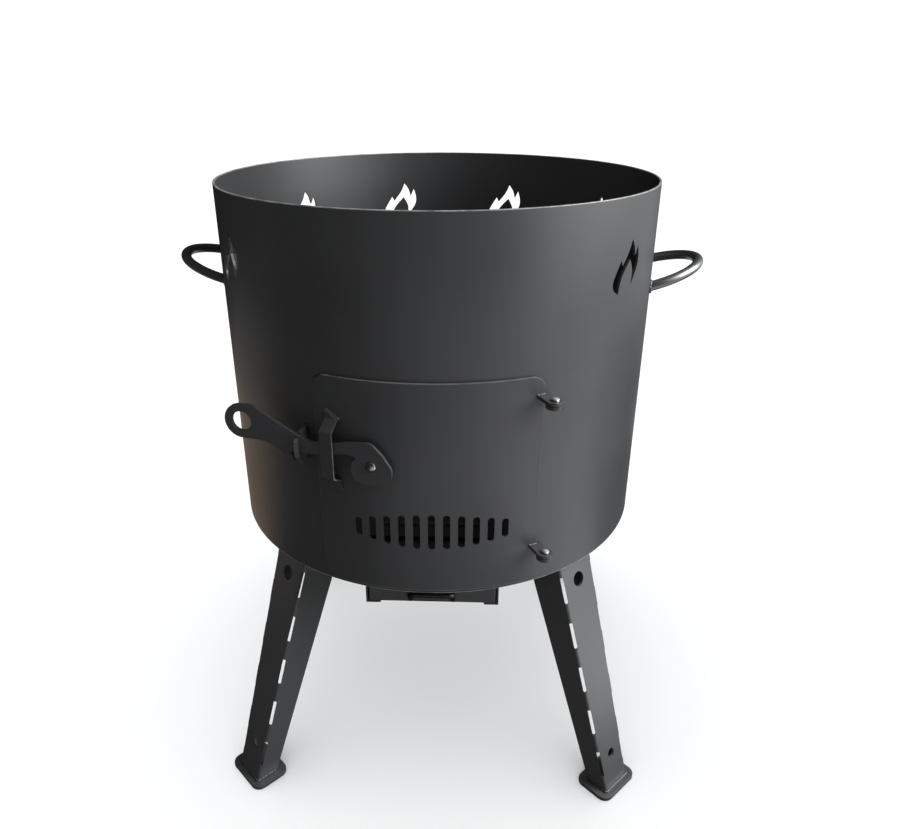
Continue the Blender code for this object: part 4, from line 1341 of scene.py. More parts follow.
@dataclass
class Hinges(SubAssembly):
    """Two hinges, each an ear on the door over an ear on the drum with a headed pin."""

    heights: dict[str, float] = field(default_factory=lambda: {"upper": 0.423, "lower": 0.283})
    thickness: float = 0.003
    ear_radius: float = 0.0070
    door_reach: Pair = (-0.0068, -0.0005)
    drum_reach: Pair = (0.0032, 0.0080)
    pin_gap: float = 0.0003
    pin_radius: float = 0.0025
    head_radius: float = 0.0037
    head_height: float = 0.0018
    tail: float = 0.0015
    dome_turns: tuple[float, ...] = (20.0, 40.0, 58.0, 74.0, 86.0)
    weld_radius: float = 0.0010

    def build(self) -> None:
        """Make both hinges and hand them over."""
        for label, height in self.heights.items():
            low = height - self.pin_gap / 2 - self.thickness
            drum_ear = self.ear(self.drum_reach, low, LAYOUT.drum_radius)
            self.fit(drum_ear, f"drum_ear_{label}", PLATE_PAINT, Carrier.STAND, f"shell_lug_{label}")
            door_ear = self.ear(self.door_reach, height + self.pin_gap / 2, LAYOUT.door_outer)
            self.fit(door_ear, f"door_ear_{label}", PLATE_PAINT, Carrier.DOOR, f"door_lug_{label}")
            self.fit(self.pin(height), f"hinge_rivet_{label}", PIN_STEEL, Carrier.STAND, f"hinge_pin_{label}")
            under = self.weld(self.drum_reach, LAYOUT.drum_radius, low)
            self.fit(under, f"drum_ear_weld_{label}", WELD_PAINT, Carrier.STAND, slot=f"shell_lug_{label}")
            over = self.weld(self.door_reach, LAYOUT.door_outer, height + self.pin_gap / 2 + self.thickness)
            self.fit(over, f"door_ear_weld_{label}", WELD_PAINT, Carrier.DOOR, slot=f"door_lug_{label}")

    def ear(self, reach: Pair, low: float, wall: float) -> Piece:
        """Ear plate round the pin, run down to a curved wall.

        Args:
            reach: Where its two sides meet the wall, along the wall from the pin's azimuth.
            low: Height of its underside.
            wall: Radius of the wall that it is welded to.

        Returns:
            The drilled ear.
        """
        pin = around(LAYOUT.hinge_turn, LAYOUT.hinge_radius, 0.0)
        first, second = (
            around(LAYOUT.hinge_turn + share / LAYOUT.drum_radius, LAYOUT.drum_bore, 0.0)
            for share in reach
        )
        start = self.touch(first, pin, 1)
        end = self.touch(second, pin, -1)
        end += math.tau * math.ceil((start - end) / math.tau)
        outline = [tuple(first.xy), *arc(tuple(pin.xy), self.ear_radius, start, end, 24), tuple(second.xy)]
        ear = Bench.plate(outline, low, low + self.thickness)
        reach_down, reach_up = low - LAYOUT.overrun, low + LAYOUT.overrun
        hole = Bench.rod(self.pin_radius + self.pin_gap, reach_down, reach_up, 32)
        Bench.cut(ear, Bench.settle(hole, Matrix.Translation(pin)))
        Bench.cut(ear, Bench.rod(wall - LAYOUT.bite, reach_down, reach_up, 360))
        Bench.soften(ear, 0.0004)
        return ear

    def touch(self, point: Vector, centre: Vector, side: int) -> float:
        """Angle at which a line from a point touches the ear's circle on one side."""
        offset = (point - centre).xy
        return math.atan2(offset.y, offset.x) + side * math.acos(self.ear_radius / offset.length)

    def pin(self, height: float) -> Piece:
        """Hinge pin with a domed head above and a peened end below.

        Args:
            height: Height of the gap between the two ears.

        Returns:
            The pin.
        """
        top = self.pin_gap / 2 + self.thickness + LAYOUT.gap
        head, shank, tail = self.head_radius, self.pin_radius, self.tail
        profile = [(head - tail / 1.6, -top - tail), (head - tail / 3, -top - 0.7 * tail)]
        profile += [(head - tail / 4, -top), (shank, -top), (shank, top), (head, top)]
        rim, rise = top + self.head_height / 3, self.head_height * 2 / 3
        profile += [(head, rim), *dome(head, rim, rise, self.dome_turns)]
        pin = around(LAYOUT.hinge_turn, LAYOUT.hinge_radius, height)
        return Bench.settle(Bench.turned(profile, 32), Matrix.Translation(pin))

    def weld(self, reach: Pair, wall: float, height: float) -> Piece:
        """Small weld where an ear meets its wall."""
        turns = [LAYOUT.hinge_turn + share / LAYOUT.drum_radius for share in reach]
        return Bench.bead([around(a, wall, height) for a in turns], self.weld_radius)


@dataclass
class Latch(SubAssembly):
    """Lever with its ring, its rivet and spacer, the strap on the door and the hook on the drum."""

    head_radius: float = 0.013
    head_spread: float = 0.0046
    head_drop: float = 0.0045
    crown_radius: float = 0.009
    crown: Pair = (-0.003, 0.0115)
    neck_low: float = 0.0050
    neck_high: float = 0.0156
    neck_length: float = 0.0655
    arm_heel: float = 0.0036
    ring: Pair = (-0.1097, 0.0277)
    ring_radius: float = 0.0152
    ring_hole: float = 0.0084
    rivet_radius: float = 0.0025
    rivet_head: float = 0.0045
    rivet_rise: float = 0.0022
    dome_turns: tuple[float, ...] = (14.0, 28.0, 42.0, 56.0, 70.0, 84.0)
    spacer_radius: float = 0.007
    guide_offset: float = 0.0346
    guide_width: float = 0.0115
    guide_high: float = 0.0283
    guide_low: float = 0.0152
    guide_foot_high: float = 0.0345
    guide_foot_low: float = 0.0205
    guide_tab: float = 0.008
    guide_bend: float = 0.0011
    weld_radius: float = 0.0011
    slack: float = 0.0006
    catch_offset: float = 0.0614
    catch_half: float = 0.0015

    @property
    def place(self) -> Matrix:
        """Frame of the rivet, its Z out from the drum's axis."""
        return facing(LAYOUT.latch_turn, LAYOUT.latch_height)

    def build(self) -> None:
        """Make the latch's pieces and hand them over."""
        self.fit(self.lever(), "latch_plate", PLATE_PAINT, Carrier.LATCH, "latch_lever")
        self.fit(self.rivet(), "latch_pivot_rivet", PIN_STEEL, Carrier.DOOR, "latch_rivet")
        self.fit(self.spacer(), "latch_washer", PIN_STEEL, Carrier.DOOR, "latch_spacer")
        self.fit(self.strap(), "guide_strap", PLATE_PAINT, Carrier.DOOR, "latch_guide")
        self.fit(self.hook(), "latch_hook", PLATE_PAINT, Carrier.STAND, "latch_catch")
        for number, weld in enumerate(self.strap_welds()):
            self.fit(weld, f"strap_weld_{number + 1}", WELD_PAINT, Carrier.DOOR, slot="latch_guide")

    def outline(self) -> Outline:
        """Outline of the lever: an egg-shaped head, a slim neck, a broad arm and a ring.

        Returns:
            Its corners, with the rivet at 0, 0.
        """
        left, right = (-self.head_spread, -self.head_drop), (self.head_spread, -self.head_drop)
        line = Vector(self.crown) - Vector(right)
        slope = math.atan2(line.y, line.x) - math.acos((self.head_radius - self.crown_radius) / line.length)
        neck, (reach, rise) = self.neck_length, self.ring
        top = [(-a * neck, b * self.neck_high) for a, b in NECK_TOP]
        top += [(a * reach, b * rise) for a, b in ARM_TOP]
        under = [(a * reach, b * rise) for a, b in ARM_UNDER]
        neck_under = [(-a * neck, b * self.neck_low) for a, b in NECK_UNDER]
        head = arc(right, self.head_radius, -math.pi / 2, slope, 24)
        crown = arc(self.crown, self.crown_radius, slope, math.pi / 2, 10)
        bulge = Vector((math.cos(slope), math.sin(slope))) * 0.0007
        middle = tuple((Vector(head[-1]) + Vector(crown[0])) / 2 + bulge)
        head += flowing([head[-1], middle, crown[0]], 6)[1:-1] + crown
        ring = arc(self.ring, self.ring_radius, 0.45 * math.pi, 1.5 * math.pi, 48)
        left_side = arc(left, self.head_radius, 0.7 * math.pi, 1.5 * math.pi, 24)
        outline = head + flowing([head[-1], *top, ring[0]], 4)[1:-1]
        outline += ring + flowing([ring[-1], *under], 4)[1:]
        outline += [(-neck, -self.arm_heel)]
        return outline + flowing([*neck_under, left_side[0]], 4)[:-1] + left_side

    def lever(self) -> Piece:
        """Lever plate with its finger ring and rivet hole, its edges eased.

        Returns:
            The lever.
        """
        lever = Bench.plate(self.outline(), LAYOUT.lever_back, LAYOUT.lever_front)
        low, high = LAYOUT.lever_back - LAYOUT.overrun, LAYOUT.lever_front + LAYOUT.overrun
        hole = Bench.rod(self.ring_hole, low, high, 64)
        Bench.cut(lever, Bench.settle(hole, Matrix.Translation((*self.ring, 0.0))))
        Bench.cut(lever, self.rivet_hole(low, high))
        Bench.soften(lever, 0.0005)
        return Bench.settle(lever, self.place)

    def rivet_hole(self, low: float, high: float) -> Piece:
        """Cutter for the rivet's hole, along Z."""
        return Bench.rod(self.rivet_radius + LAYOUT.gap, low, high, 32)

    def rivet(self) -> Piece:
        """Domed rivet through lever, washer and door.

        Returns:
            The rivet.
        """
        tail, head = LAYOUT.door_inner - LAYOUT.gap, LAYOUT.lever_front + LAYOUT.gap
        wide, rise = self.rivet_head, self.rivet_rise
        profile = [(wide - 0.0008, tail - 0.0015), (wide - 0.0002, tail - 0.0012), (wide, tail)]
        profile += [(self.rivet_radius, tail), (self.rivet_radius, head), (wide, head)]
        profile += dome(wide, head + 0.15 * rise, 0.85 * rise, self.dome_turns)
        return Bench.settle(Bench.turned(profile, 40), self.place)

    def spacer(self) -> Piece:
        """Washer that holds the lever off the door.

        Returns:
            The washer.
        """
        low = LAYOUT.door_outer + LAYOUT.gap
        high = LAYOUT.lever_back - LAYOUT.gap
        washer = Bench.rod(self.spacer_radius, low, high, 48)
        Bench.cut(washer, self.rivet_hole(low - LAYOUT.overrun, high + LAYOUT.overrun))
        Bench.soften(washer, 0.0003)
        return Bench.settle(washer, self.place)

    @property
    def strap_place(self) -> Matrix:
        """Frame of the strap on the door."""
        turn = math.atan2(self.guide_offset, LAYOUT.door_outer)
        return facing(LAYOUT.latch_turn - turn, LAYOUT.latch_height)

    def strap(self) -> Piece:
        """Flat strap bent to a bridge over the lever's neck, one end cut aslant.

        Returns:
            The strap.
        """
        turn = math.atan2(self.guide_offset, LAYOUT.door_outer)
        far = self.guide_offset + self.guide_width / 2
        face = LAYOUT.lever_front * math.cos(turn) + far * math.sin(turn) + self.slack
        foot, sheet = LAYOUT.door_outer + LAYOUT.gap, LAYOUT.sheet
        path = [
            (-self.guide_foot_low - self.guide_tab, foot), (-self.guide_foot_low, foot),
            (-self.guide_low + sheet, face), (self.guide_high - sheet, face),
            (self.guide_foot_high, foot), (self.guide_foot_high + self.guide_tab, foot),
        ]
        width = self.guide_width
        outline = strip(path, sheet)
        strap = Bench.plate(outline, -width / 2, width / 2)
        bends = {(round(x, 5), round(y, 5)) for x, y in outline[1:5] + outline[7:11]}
        with Bench.editing(strap):
            Bench.pick(
                strap, Part.EDGES,
                lambda e: abs(e.verts[0].co.z - e.verts[1].co.z) > width / 2
                and (round(e.verts[0].co.x, 5), round(e.verts[0].co.y, 5)) in bends,
            )
            bpy.ops.mesh.bevel(offset=self.guide_bend, segments=5, affect="EDGES")
        Bench.settle(strap, self.strap_place @ PROFILE_TURN)
        high, step = self.guide_foot_high + self.guide_tab, self.guide_tab / width
        side = width / 2 + LAYOUT.overrun
        wedge = [(-side, high + step * LAYOUT.overrun), (side, high - step * (width + LAYOUT.overrun))]
        wedge.append((side, high + step * LAYOUT.overrun))
        cutter = Bench.plate(wedge, LAYOUT.door_inner, LAYOUT.door_outer + LAYOUT.overrun)
        Bench.cut(strap, Bench.settle(cutter, self.strap_place))
        Bench.soften(strap, 0.0004)
        return strap

    def strap_welds(self) -> list[Piece]:
        """Weld along the end of each of the strap's feet.

        Returns:
            The two welds.
        """
        half, low = self.guide_width / 2, -self.guide_foot_low - self.guide_tab
        aslant = ((-half, self.guide_foot_high + 0.0075), (half, self.guide_foot_high + 0.0005))
        welds = []
        for ends in (aslant, ((-half, low), (half, low))):
            route = [
                self.strap_place @ Vector((x, y, LAYOUT.door_outer * math.cos(x / LAYOUT.door_outer)))
                for x, y in ends
            ]
            welds.append(Bench.bead(route, self.weld_radius))
        return welds

    def hook(self) -> Piece:
        """Upright hook on the drum, that the lever's neck drops into.

        Returns:
            The hook.
        """
        seat = self.neck_low - LAYOUT.gap
        back, front = LAYOUT.lever_back - self.slack, LAYOUT.lever_front + self.slack
        nose, low = front + 0.0045, seat - 0.0130
        root = LAYOUT.drum_bore * math.cos(math.asin(self.catch_offset / LAYOUT.drum_bore)) - LAYOUT.sheet
        profile = [
            (low, root), (low, LAYOUT.drum_radius + 0.0030), (seat - 0.0015, nose),
            (seat + 0.0120, nose), (seat + 0.0140, nose - 0.0020), (seat + 0.0140, front),
            (seat, front), (seat, back), (seat + 0.0175, back), (seat + 0.0175, root),
        ]
        hook = Bench.plate(profile, -self.catch_half, self.catch_half)
        Bench.settle(hook, self.place @ Matrix.Translation((-self.catch_offset, 0.0, 0.0)) @ PROFILE_TURN)
        Bench.cut(hook, Bench.rod(LAYOUT.drum_radius - LAYOUT.bite, LAYOUT.drum_low, LAYOUT.drum_top, 360))
        Bench.soften(hook, 0.0004)
        return hook


@dataclass
class Handles(SubAssembly):
    """The two round bars, bent to half circles and welded to the drum's sides."""

    rod_radius: float = 0.0045
    height: float = 0.479
    half_span: float = 0.0470
    tip: float = 0.2472
    tilt: float = math.radians(17.5)
    turn: float = math.radians(-2.0)
    root: float = 0.0008
    trim: Pair = (0.40, 0.56)
    weld_stops: int = 16
    weld_out: float = 0.0002
    weld_gap: float = 0.0004
    weld_radius: float = 0.0015

    def build(self) -> None:
        """Make both handles with their weld rings and hand them over."""
        for label, side in (("left", -1), ("right", 1)):
            azimuth = side * math.pi / 2 + self.turn
            name = f"handle_{label}"
            self.fit(self.bar(azimuth), f"{name}_bar", ROD_PAINT, Carrier.STAND, name)
            for number, end in enumerate((-1, 1)):
                weld = self.weld_ring(azimuth, end * self.half_span)
                self.fit(weld, f"{name}_weld_{number + 1}", WELD_PAINT, Carrier.STAND, slot=name)

    @property
    def wall(self) -> float:
        """Distance from the drum's axis to where the bar's legs meet the wall."""
        return math.sqrt(LAYOUT.drum_radius**2 - self.half_span**2)

    def bar(self, azimuth: float) -> Piece:
        """Bar bent in the flat, tilted up and trimmed inside the drum's wall.

        Args:
            azimuth: Azimuth of its middle.

        Returns:
            The bar.
        """
        root = self.wall - LAYOUT.overrun
        stops = [
            Vector((side * self.half_span, 0.0, out))
            for side, out in ((1, root), (1, self.tip), (-1, self.tip), (-1, root))
        ]
        bar = Bench.section(self.rod_radius, 24, stops[0], Vector((0.0, 0.0, 1.0)))
        Bench.sweep(bar, stops, self.half_span, 24)
        stretch = Matrix.Scale(1.0 / math.cos(self.tilt), 4, (0.0, 0.0, 1.0))
        tilt = Matrix.Rotation(-self.tilt, 4, "X") @ stretch @ Matrix.Translation((0.0, 0.0, -self.wall))
        Bench.settle(bar, facing(azimuth, self.height, self.wall) @ tilt)
        Bench.cut(bar, Bench.rod(LAYOUT.drum_radius - self.root, *self.trim, 360))
        return bar

    def weld_ring(self, azimuth: float, across: float) -> Piece:
        """Weld bead round one end of the bar.

        Args:
            azimuth: Azimuth of the handle's middle.
            across: Distance of the bar's end from there.

        Returns:
            The weld.
        """
        route = []
        for x, y in arc((across, 0.0), self.rod_radius + self.weld_gap, 0.0, math.tau, self.weld_stops):
            out = math.sqrt(LAYOUT.drum_radius**2 - x**2) + self.weld_out
            route.append(facing(azimuth, self.height) @ Vector((x, y, out)))
        return Bench.bead(route, self.weld_radius)


@dataclass
class Legs(SubAssembly):
    """Four folded legs with their feet, welds, bolts and nuts."""

    top_radius: float = 0.1879
    foot_radius: float = 0.2657
    top_half: float = 0.0234
    foot_half: float = 0.0171
    top_flange: float = 0.0422
    foot_flange: float = 0.0229
    full_height: float = 0.246
    low: float = 0.0047
    high: float = 0.2577
    fold: float = 0.0028
    slot_count: int = 5
    slot_first: float = 0.0345
    slot_pitch: float = 0.0450
    slot_length: float = 0.0280
    slot_width: float = 0.003
    holes: tuple[Pair, ...] = ((0.007, 0.2177), (0.0045, 0.0375))
    tab_length: float = 0.034
    foot_size: tuple[float, float, float] = (0.051, 0.038, 0.004)
    foot_lip: float = 0.0045
    foot_corner: float = 0.009
    weld_radius: float = 0.0014
    bolt_radius: float = 0.003
    bolt_tip: float = 0.2484
    head_height: float = 0.004
    nut_height: float = 0.005
    hex_half: float = 0.005
    hex_slant: float = 0.0005
    thread_turns: int = 6
    thread_pitch: float = 0.0006
    thread_depth: float = 0.0004

    def build(self) -> None:
        """Make one set and copy it to the four corners."""
        drum = Carrier.STAND
        patterns = (
            (self.channel(), "folded_leg", LEG_PAINT, "leg"),
            (self.foot(), "foot_plate", LEG_PAINT, "foot"),
            (self.bolt(), "hex_bolt", ZINC, "leg_bolt"),
            (self.nut(), "hex_nut", ZINC, "leg_nut"),
        )
        foot_weld = self.foot_weld()
        for corner in Corner:
            turn = Matrix.Rotation(corner.turn, 4, "Z")
            for pattern, name, finish, node in patterns:
                piece = Bench.copy(pattern, turn)
                self.fit(piece, f"{name}_{corner.name}", finish, drum, f"{node}_{corner.name}")
            weld = Bench.copy(foot_weld, turn)
            self.fit(weld, f"foot_weld_{corner.name}", WELD_PAINT, drum, slot=f"foot_{corner.name}")
        Bench.discard(*(entry[0] for entry in patterns), foot_weld)

    def at(self, height: float) -> tuple[float, float, float]:
        """Outer radius, half width and flange of the leg at a height.

        Args:
            height: The height.

        Returns:
            The three sizes.
        """
        share = height / self.full_height
        pairs = (
            (self.foot_radius, self.top_radius), (self.foot_half, self.top_half),
            (self.foot_flange, self.top_flange),
        )
        radius, half, flange = (first + (last - first) * share for first, last in pairs)
        return radius, half, flange

    def channel(self) -> Piece:
        """Tapered sheet folded back along both sides, slotted along the folds.

        Returns:
            The leg, at azimuth 0.
        """
        (radius, half, flange), (top_radius, top_half, top_flange) = self.at(self.low), self.at(self.high)
        size = (2 * half, flange, self.high - self.low)
        leg = Bench.block(size, (0.0, flange / 2 - radius, (self.low + self.high) / 2))
        with Bench.editing(leg):
            Bench.pick(leg, Part.FACES, lambda f: f.normal.z > 0.9)
            grow = (top_half / half, top_flange / flange, 1.0)
            bpy.ops.transform.resize(value=grow, center_override=(0.0, -radius, self.high))
            bpy.ops.transform.translate(value=(0.0, radius - top_radius, 0.0))
            Bench.pick(leg, Part.FACES, lambda f: abs(f.normal.z) > 0.9 or f.normal.y > 0.5)
            bpy.ops.mesh.delete(type="FACE")
            Bench.pick(leg, Part.EDGES, lambda e: len(e.link_faces) == 2)
            bpy.ops.mesh.bevel(offset=self.fold, segments=5, affect="EDGES")
        Bench.apply(leg, "SOLIDIFY", thickness=LAYOUT.sheet, offset=-1.0, use_even_offset=True)
        self.add_tab(leg)
        Bench.soften(leg, 0.0004)
        for side in (-1, 1):
            for number in range(self.slot_count):
                Bench.cut(leg, self.fold_slot(number, side))
        for hole_radius, height in self.holes:
            Bench.cut(leg, Bench.drill(hole_radius, facing(0.0, height, self.at(height)[0]), 40))
        return leg

    def add_tab(self, leg: Piece) -> None:
        """Fold the drilled tab on to the leg's top.

        Args:
            leg: The leg, at azimuth 0.
        """
        radius, half, _ = self.at(self.high)
        outer = radius - LAYOUT.sheet / 2
        size = (2 * (half - LAYOUT.sheet) - 0.0006, self.tab_length, LAYOUT.sheet)
        centre = (0.0, self.tab_length / 2 - outer, self.high - LAYOUT.sheet / 2)
        Bench.combine(leg, Bench.block(size, centre), "UNION")
        spot = self.bolt_spot + Vector((0.0, 0.0, self.high))
        Bench.cut(leg, Bench.drill(LAYOUT.bolt_hole, Matrix.Translation(spot)))

    def fold_slot(self, number: int, side: int) -> Piece:
        """Cutter for one slot through a fold.

        Args:
            number: Number of the slot, counted up from the foot.
            side: -1 for the left fold, 1 for the right.

        Returns:
            The cutter.
        """
        height = self.slot_first + number * self.slot_pitch
        spots = [Vector((side * self.at(z)[1], -self.at(z)[0], z)) for z in (0.0, height, self.full_height)]
        along = (spots[2] - spots[0]).normalized()
        out = Vector((side, -1.0, 0.0))
        out = (out - along * out.dot(along)).normalized()
        turn = Matrix((along, out.cross(along), out)).transposed().to_4x4()
        slot = Bench.block((self.slot_length, self.slot_width, 0.014), (0.0, 0.0, 0.0), 0.0011, 5)
        return Bench.settle(slot, Matrix.Translation(spots[1]) @ turn)

    def foot(self) -> Piece:
        """Foot plate with round corners and eased edges.

        Returns:
            The foot plate, for the leg at azimuth 0.
        """
        _, length, thick = self.foot_size
        outer = self.foot_radius + self.foot_lip
        foot = Bench.block(self.foot_size, (0.0, length / 2 - outer, thick / 2), self.foot_corner, 8)
        Bench.soften(foot, 0.0005)
        return foot

    def foot_weld(self) -> Piece:
        """Weld round the outside of the leg on its foot.

        Returns:
            The weld, for the leg at azimuth 0.
        """
        radius, half, flange = self.at(self.low)
        back = flange * 0.85 - radius
        corners = (
            (-half, back), (-half, 0.001 - radius), (0.001 - half, -radius),
            (half - 0.001, -radius), (half, 0.001 - radius), (half, back),
        )
        return Bench.bead([Vector((x, y, self.low)) for x, y in corners], self.weld_radius)

    @property
    def bolt_spot(self) -> Vector:
        """Where the bolt stands, for the leg at azimuth 0."""
        return around(0.0, self.at(LAYOUT.floor_under)[0] - self.tab_length / 2, 0.0)

    def hexagon(self, low: float, high: float, both: bool) -> Piece:
        """Hexagon along Z with its corners turned off on top, or on both faces.

        Args:
            low: Height of its underside.
            high: Height of its upper face.
            both: Whether the underside is turned off too.

        Returns:
            The hexagon, round the Z axis.
        """
        corner, slant = self.hex_half / math.cos(math.pi / 6), self.hex_slant
        piece = Bench.plate(arc((0.0, 0.0), corner, 0.0, math.tau, 6)[:-1], low, high)
        first = [(self.hex_half, low), (corner, low + slant)] if both else [(corner, low)]
        barrel = Bench.turned([*first, (corner, high - slant), (self.hex_half, high)], 48)
        Bench.combine(piece, barrel, "INTERSECT")
        return piece

    def bolt(self) -> Piece:
        """Hexagon bolt whose thread shows under the nut.

        Returns:
            The bolt, for the leg at azimuth 0.
        """
        head = LAYOUT.floor_top + LAYOUT.gap
        bolt = self.hexagon(head, head + self.head_height, False)
        low, crest, root = self.bolt_tip, self.bolt_radius, self.bolt_radius - self.thread_depth
        profile = [(root, low)]
        for turn in range(self.thread_turns):
            step = low + self.thread_depth + turn * self.thread_pitch
            profile += [(crest, step), (root, step + self.thread_pitch / 2)]
        profile += [(crest, low + 0.0042), (crest, head + self.head_height / 2)]
        Bench.combine(bolt, Bench.turned(profile, 32), "UNION")
        return Bench.settle(bolt, Matrix.Translation(self.bolt_spot))

    def nut(self) -> Piece:
        """Hexagon nut under the leg's tab.

        Returns:
            The nut, for the leg at azimuth 0.
        """
        high = self.high - LAYOUT.sheet - LAYOUT.gap
        nut = self.hexagon(high - self.nut_height, high, True)
        low = high - self.nut_height
        Bench.cut(nut, Bench.rod(LAYOUT.bolt_hole, low - LAYOUT.overrun, high + LAYOUT.overrun, 32))
        return Bench.settle(nut, Matrix.Translation(self.bolt_spot))


@dataclass
class AshPan(SubAssembly):
    """Ash pan with its wire pull, on two rails under the floor plate."""

    half_width: float = 0.06118
    length: float = 0.200
    front: float = 0.1448
    low: float = 0.1913
    height: float = 0.045
    sheet: float = 0.0015
    rail_low: float = 0.189
    rail_lip: float = 0.012
    pull_radius: float = 0.0025
    pull_half_span: float = 0.020
    pull_height: float = 0.0085
    pull_stub: float = 0.0075
    pull_out: float = 0.016
    pull_rise: float = 0.017
    pull_bend: float = 0.004
    weld_half: float = 0.0016
    weld_drop: float = 0.0018
    weld_radius: float = 0.0010

    def build(self) -> None:
        """Make the pan, the pull and the rails and hand them over."""
        self.fit(self.pan(), "folded_pan", LEG_PAINT, Carrier.PAN, "ash_pan")
        self.fit(self.pull(), "pan_wire_pull", WIRE_STEEL, Carrier.PAN, "ash_pan_pull")
        for label, side in (("left", -1), ("right", 1)):
            self.fit(self.rail(side), f"folded_rail_{label}", PLATE_PAINT, Carrier.STAND, f"pan_rail_{label}")
            spot = around(0.0, self.front, self.low + self.pull_height)
            spot.x = side * self.pull_half_span
            ends = [spot + Vector((x, 0.0, -self.weld_drop)) for x in (-self.weld_half, self.weld_half)]
            weld = Bench.bead(ends, self.weld_radius)
            self.fit(weld, f"pull_weld_{label}", WELD_PAINT, Carrier.PAN, slot="ash_pan")

    def pan(self) -> Piece:
        """Tray folded from sheet, open on top.

        Returns:
            The pan.
        """
        centre = (0.0, self.length / 2 - self.front, self.low + self.height / 2)
        pan = Bench.block((2 * self.half_width, self.length, self.height), centre, 0.002, 4)
        with Bench.editing(pan):
            Bench.pick(pan, Part.FACES, lambda f: f.normal.z > 0.9)
            bpy.ops.mesh.inset(thickness=self.sheet, use_even_offset=True)
            Bench.draw_out((0.0, 0.0, self.sheet - self.height))
        Bench.close(pan)
        Bench.soften(pan, 0.0005)
        return pan

    def pull(self) -> Piece:
        """Wire bent to a low bow, welded to the pan's front.

        Returns:
            The pull.
        """
        start, height = -self.front + 0.0004, self.low + self.pull_height
        stub = start - self.pull_stub
        half = ((start, height), (stub, height), (stub - self.pull_out, height + self.pull_rise))
        stops = [Vector((self.pull_half_span, y, z)) for y, z in half]
        stops += [Vector((-self.pull_half_span, y, z)) for y, z in reversed(half)]
        pull = Bench.section(self.pull_radius, 20, stops[0], Vector((0.0, -1.0, 0.0)))
        Bench.sweep(pull, stops, self.pull_bend, 6)
        return pull

    def rail(self, side: int) -> Piece:
        """Z-shaped rail that carries one side of the pan.

        Args:
            side: -1 for the left rail, 1 for the right.

        Returns:
            The rail.
        """
        sheet, low = LAYOUT.sheet, self.rail_low
        top = LAYOUT.floor_under - LAYOUT.gap - sheet
        web = self.half_width + 0.0006
        inside, outside = web - self.rail_lip, web + self.rail_lip
        profile = [
            (inside, low), (web + sheet, low), (web + sheet, top), (outside, top),
            (outside, top + sheet), (web, top + sheet), (web, low + sheet), (inside, low + sheet),
        ]
        rail = Bench.plate([(side * x, z) for x, z in profile], self.front - self.length, self.front)
        Bench.settle(rail, facing(0.0, 0.0))
        Bench.soften(rail, 0.0005)
        return rail


@dataclass(frozen=True)
class Lamp:
    """Soft flat lamp, at an azimuth in degrees; it faces the drum, or up where it lies on the floor."""

    name: str
    azimuth: float
    radius: float
    height: float
    size: Pair
    power: float
    colour: tuple[float, float, float] = (0.97, 0.98, 1.0)
    aim: float = 0.35

    def hang(self, unlit: bpy.types.Collection) -> None:
        """Hang the lamp.

        Args:
            unlit: What its light leaves out.
        """
        lamp = bpy.data.lights.new(self.name, "AREA")
        lamp.shape = "RECTANGLE"
        lamp.size, lamp.size_y = self.size
        lamp.energy = self.power
        lamp.color = self.colour
        holder = bpy.data.objects.new(self.name, lamp)
        bpy.context.scene.collection.objects.link(holder)
        holder.location = around(math.radians(self.azimuth), self.radius, self.height)
        holder.visible_camera = False
        holder.light_linking.receiver_collection = unlit
        towards = Vector((0.0, 0.0, self.aim)) - holder.location
        if self.height < LAYOUT.overrun:
            towards = Vector((0.0, 0.0, 1.0))
        holder.rotation_euler = towards.to_track_quat("-Z", "Y").to_euler()


LAMPS = (
    Lamp("key_light", 80.0, 2.2, 1.65, (2.0, 2.0), 310.0, (0.98, 0.99, 1.0)),
    Lamp("low_light", 92.0, 1.35, 0.42, (2.6, 0.8), 5.0, (0.96, 0.98, 1.0)),
    Lamp("back_glow", 180.0, 1.05, 0.004, (1.2, 1.0), 3.4),
    Lamp("left_glow", -112.0, 1.3, 0.004, (0.7, 0.9), 0.9),
    Lamp("front_glow", 12.0, 1.0, 0.004, (0.9, 0.9), 2.4),
    Lamp("right_glow", 57.0, 1.0, 0.004, (1.0, 1.0), 5.5),
    Lamp("warm_glow", -122.0, 0.75, 0.004, (0.8, 0.8), 1.35, (1.0, 0.74, 0.54)),
)


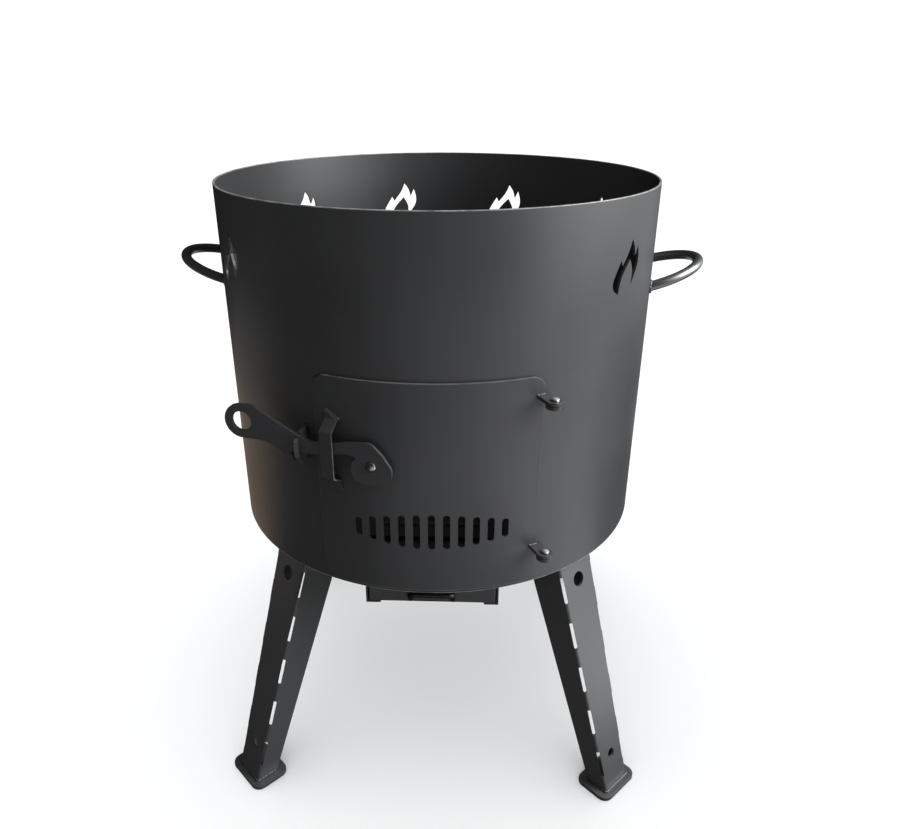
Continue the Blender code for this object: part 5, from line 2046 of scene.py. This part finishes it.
@dataclass
class Studio:
    """Wide pale floor, soft lights and the camera."""

    rings: tuple[float, ...] = (1.5, 4.0, 12.0, 60.0)
    air_glow: float = 1.25
    air_gloss: float = 0.02
    lens: float = 758.5 * 36.0 / 908.0
    shift: float = (454.0 - 437.7) / 908.0
    eye: tuple[float, float, float] = (0.02956, -0.7354, 0.65838)
    heading: float = math.radians(2.3)
    pitch: float = math.radians(65.55)
    roll: float = math.radians(-0.13)

    def build(self) -> None:
        """Lay the floor, hang the lamps and stand the camera. The floor has only the air's even light."""
        unlit = bpy.data.collections.new("floor without lamps")
        unlit.objects.link(self.floor())
        unlit.collection_objects[0].light_linking.link_state = "EXCLUDE"
        for lamp in LAMPS:
            lamp.hang(unlit)
        self.air()
        self.camera()

    def floor(self) -> Piece:
        """Level floor that runs out to the horizon, in rings that widen.

        Returns:
            The floor.
        """
        Bench.clear()
        bpy.ops.mesh.primitive_circle_add(
            vertices=72, radius=self.rings[0], fill_type="NGON", location=(0.0, 0.0, 0.0)
        )
        floor = bpy.context.object
        with Bench.editing(floor):
            for inner, outer in zip(self.rings, self.rings[1:]):
                Bench.pick(floor, Part.EDGES, lambda e: min(v.co.xy.length for v in e.verts) > 0.98 * inner)
                bpy.ops.mesh.extrude_edges_move()
                bpy.ops.transform.resize(value=(outer / inner, outer / inner, 1.0))
        Bench.close(floor)
        Bench.settle(floor)
        Bench.smooth(floor)
        floor.name = floor.data.name = "studio_floor"
        floor.data.materials.append(PAPER.material())
        floor.visible_glossy = False
        return floor

    def air(self) -> None:
        """Even light from all round."""
        world = bpy.data.worlds.new("studio air")
        bpy.context.scene.world = world
        world.use_nodes = True
        wiring = Wiring(world.node_tree)
        sky = world.node_tree.nodes["Background"]
        sky.inputs["Color"].default_value = (0.98, 0.99, 1.0, 1.0)
        gloss = wiring.node("ShaderNodeLightPath").outputs["Is Glossy Ray"]
        wiring.feed(sky.inputs["Strength"], wiring.spread(gloss, (0.0, 1.0), (self.air_glow, self.air_gloss)))

    def camera(self) -> None:
        """Stand the camera at the photograph's viewing angle."""
        view = bpy.data.cameras.new("camera")
        view.sensor_width = 36.0
        view.lens = self.lens
        view.shift_x = self.shift
        holder = bpy.data.objects.new("camera", view)
        bpy.context.scene.collection.objects.link(holder)
        turn = Matrix.Rotation(self.heading, 4, "Z") @ Matrix.Rotation(self.pitch, 4, "X")
        turn = turn @ Matrix.Rotation(self.roll, 4, "Z")
        holder.matrix_world = Matrix.Translation(self.eye) @ turn
        bpy.context.scene.camera = holder
        bpy.context.scene.view_settings.view_transform = "Standard"


def main() -> None:
    """Build every sub-assembly and the studio in order."""
    for assembly in (Drum(), Door(), Hinges(), Latch(), Handles(), Legs(), AshPan(), Studio()):
        LOG.info("-- %s", type(assembly).__name__)
        assembly.build()


if __name__ == "__main__":
    main()
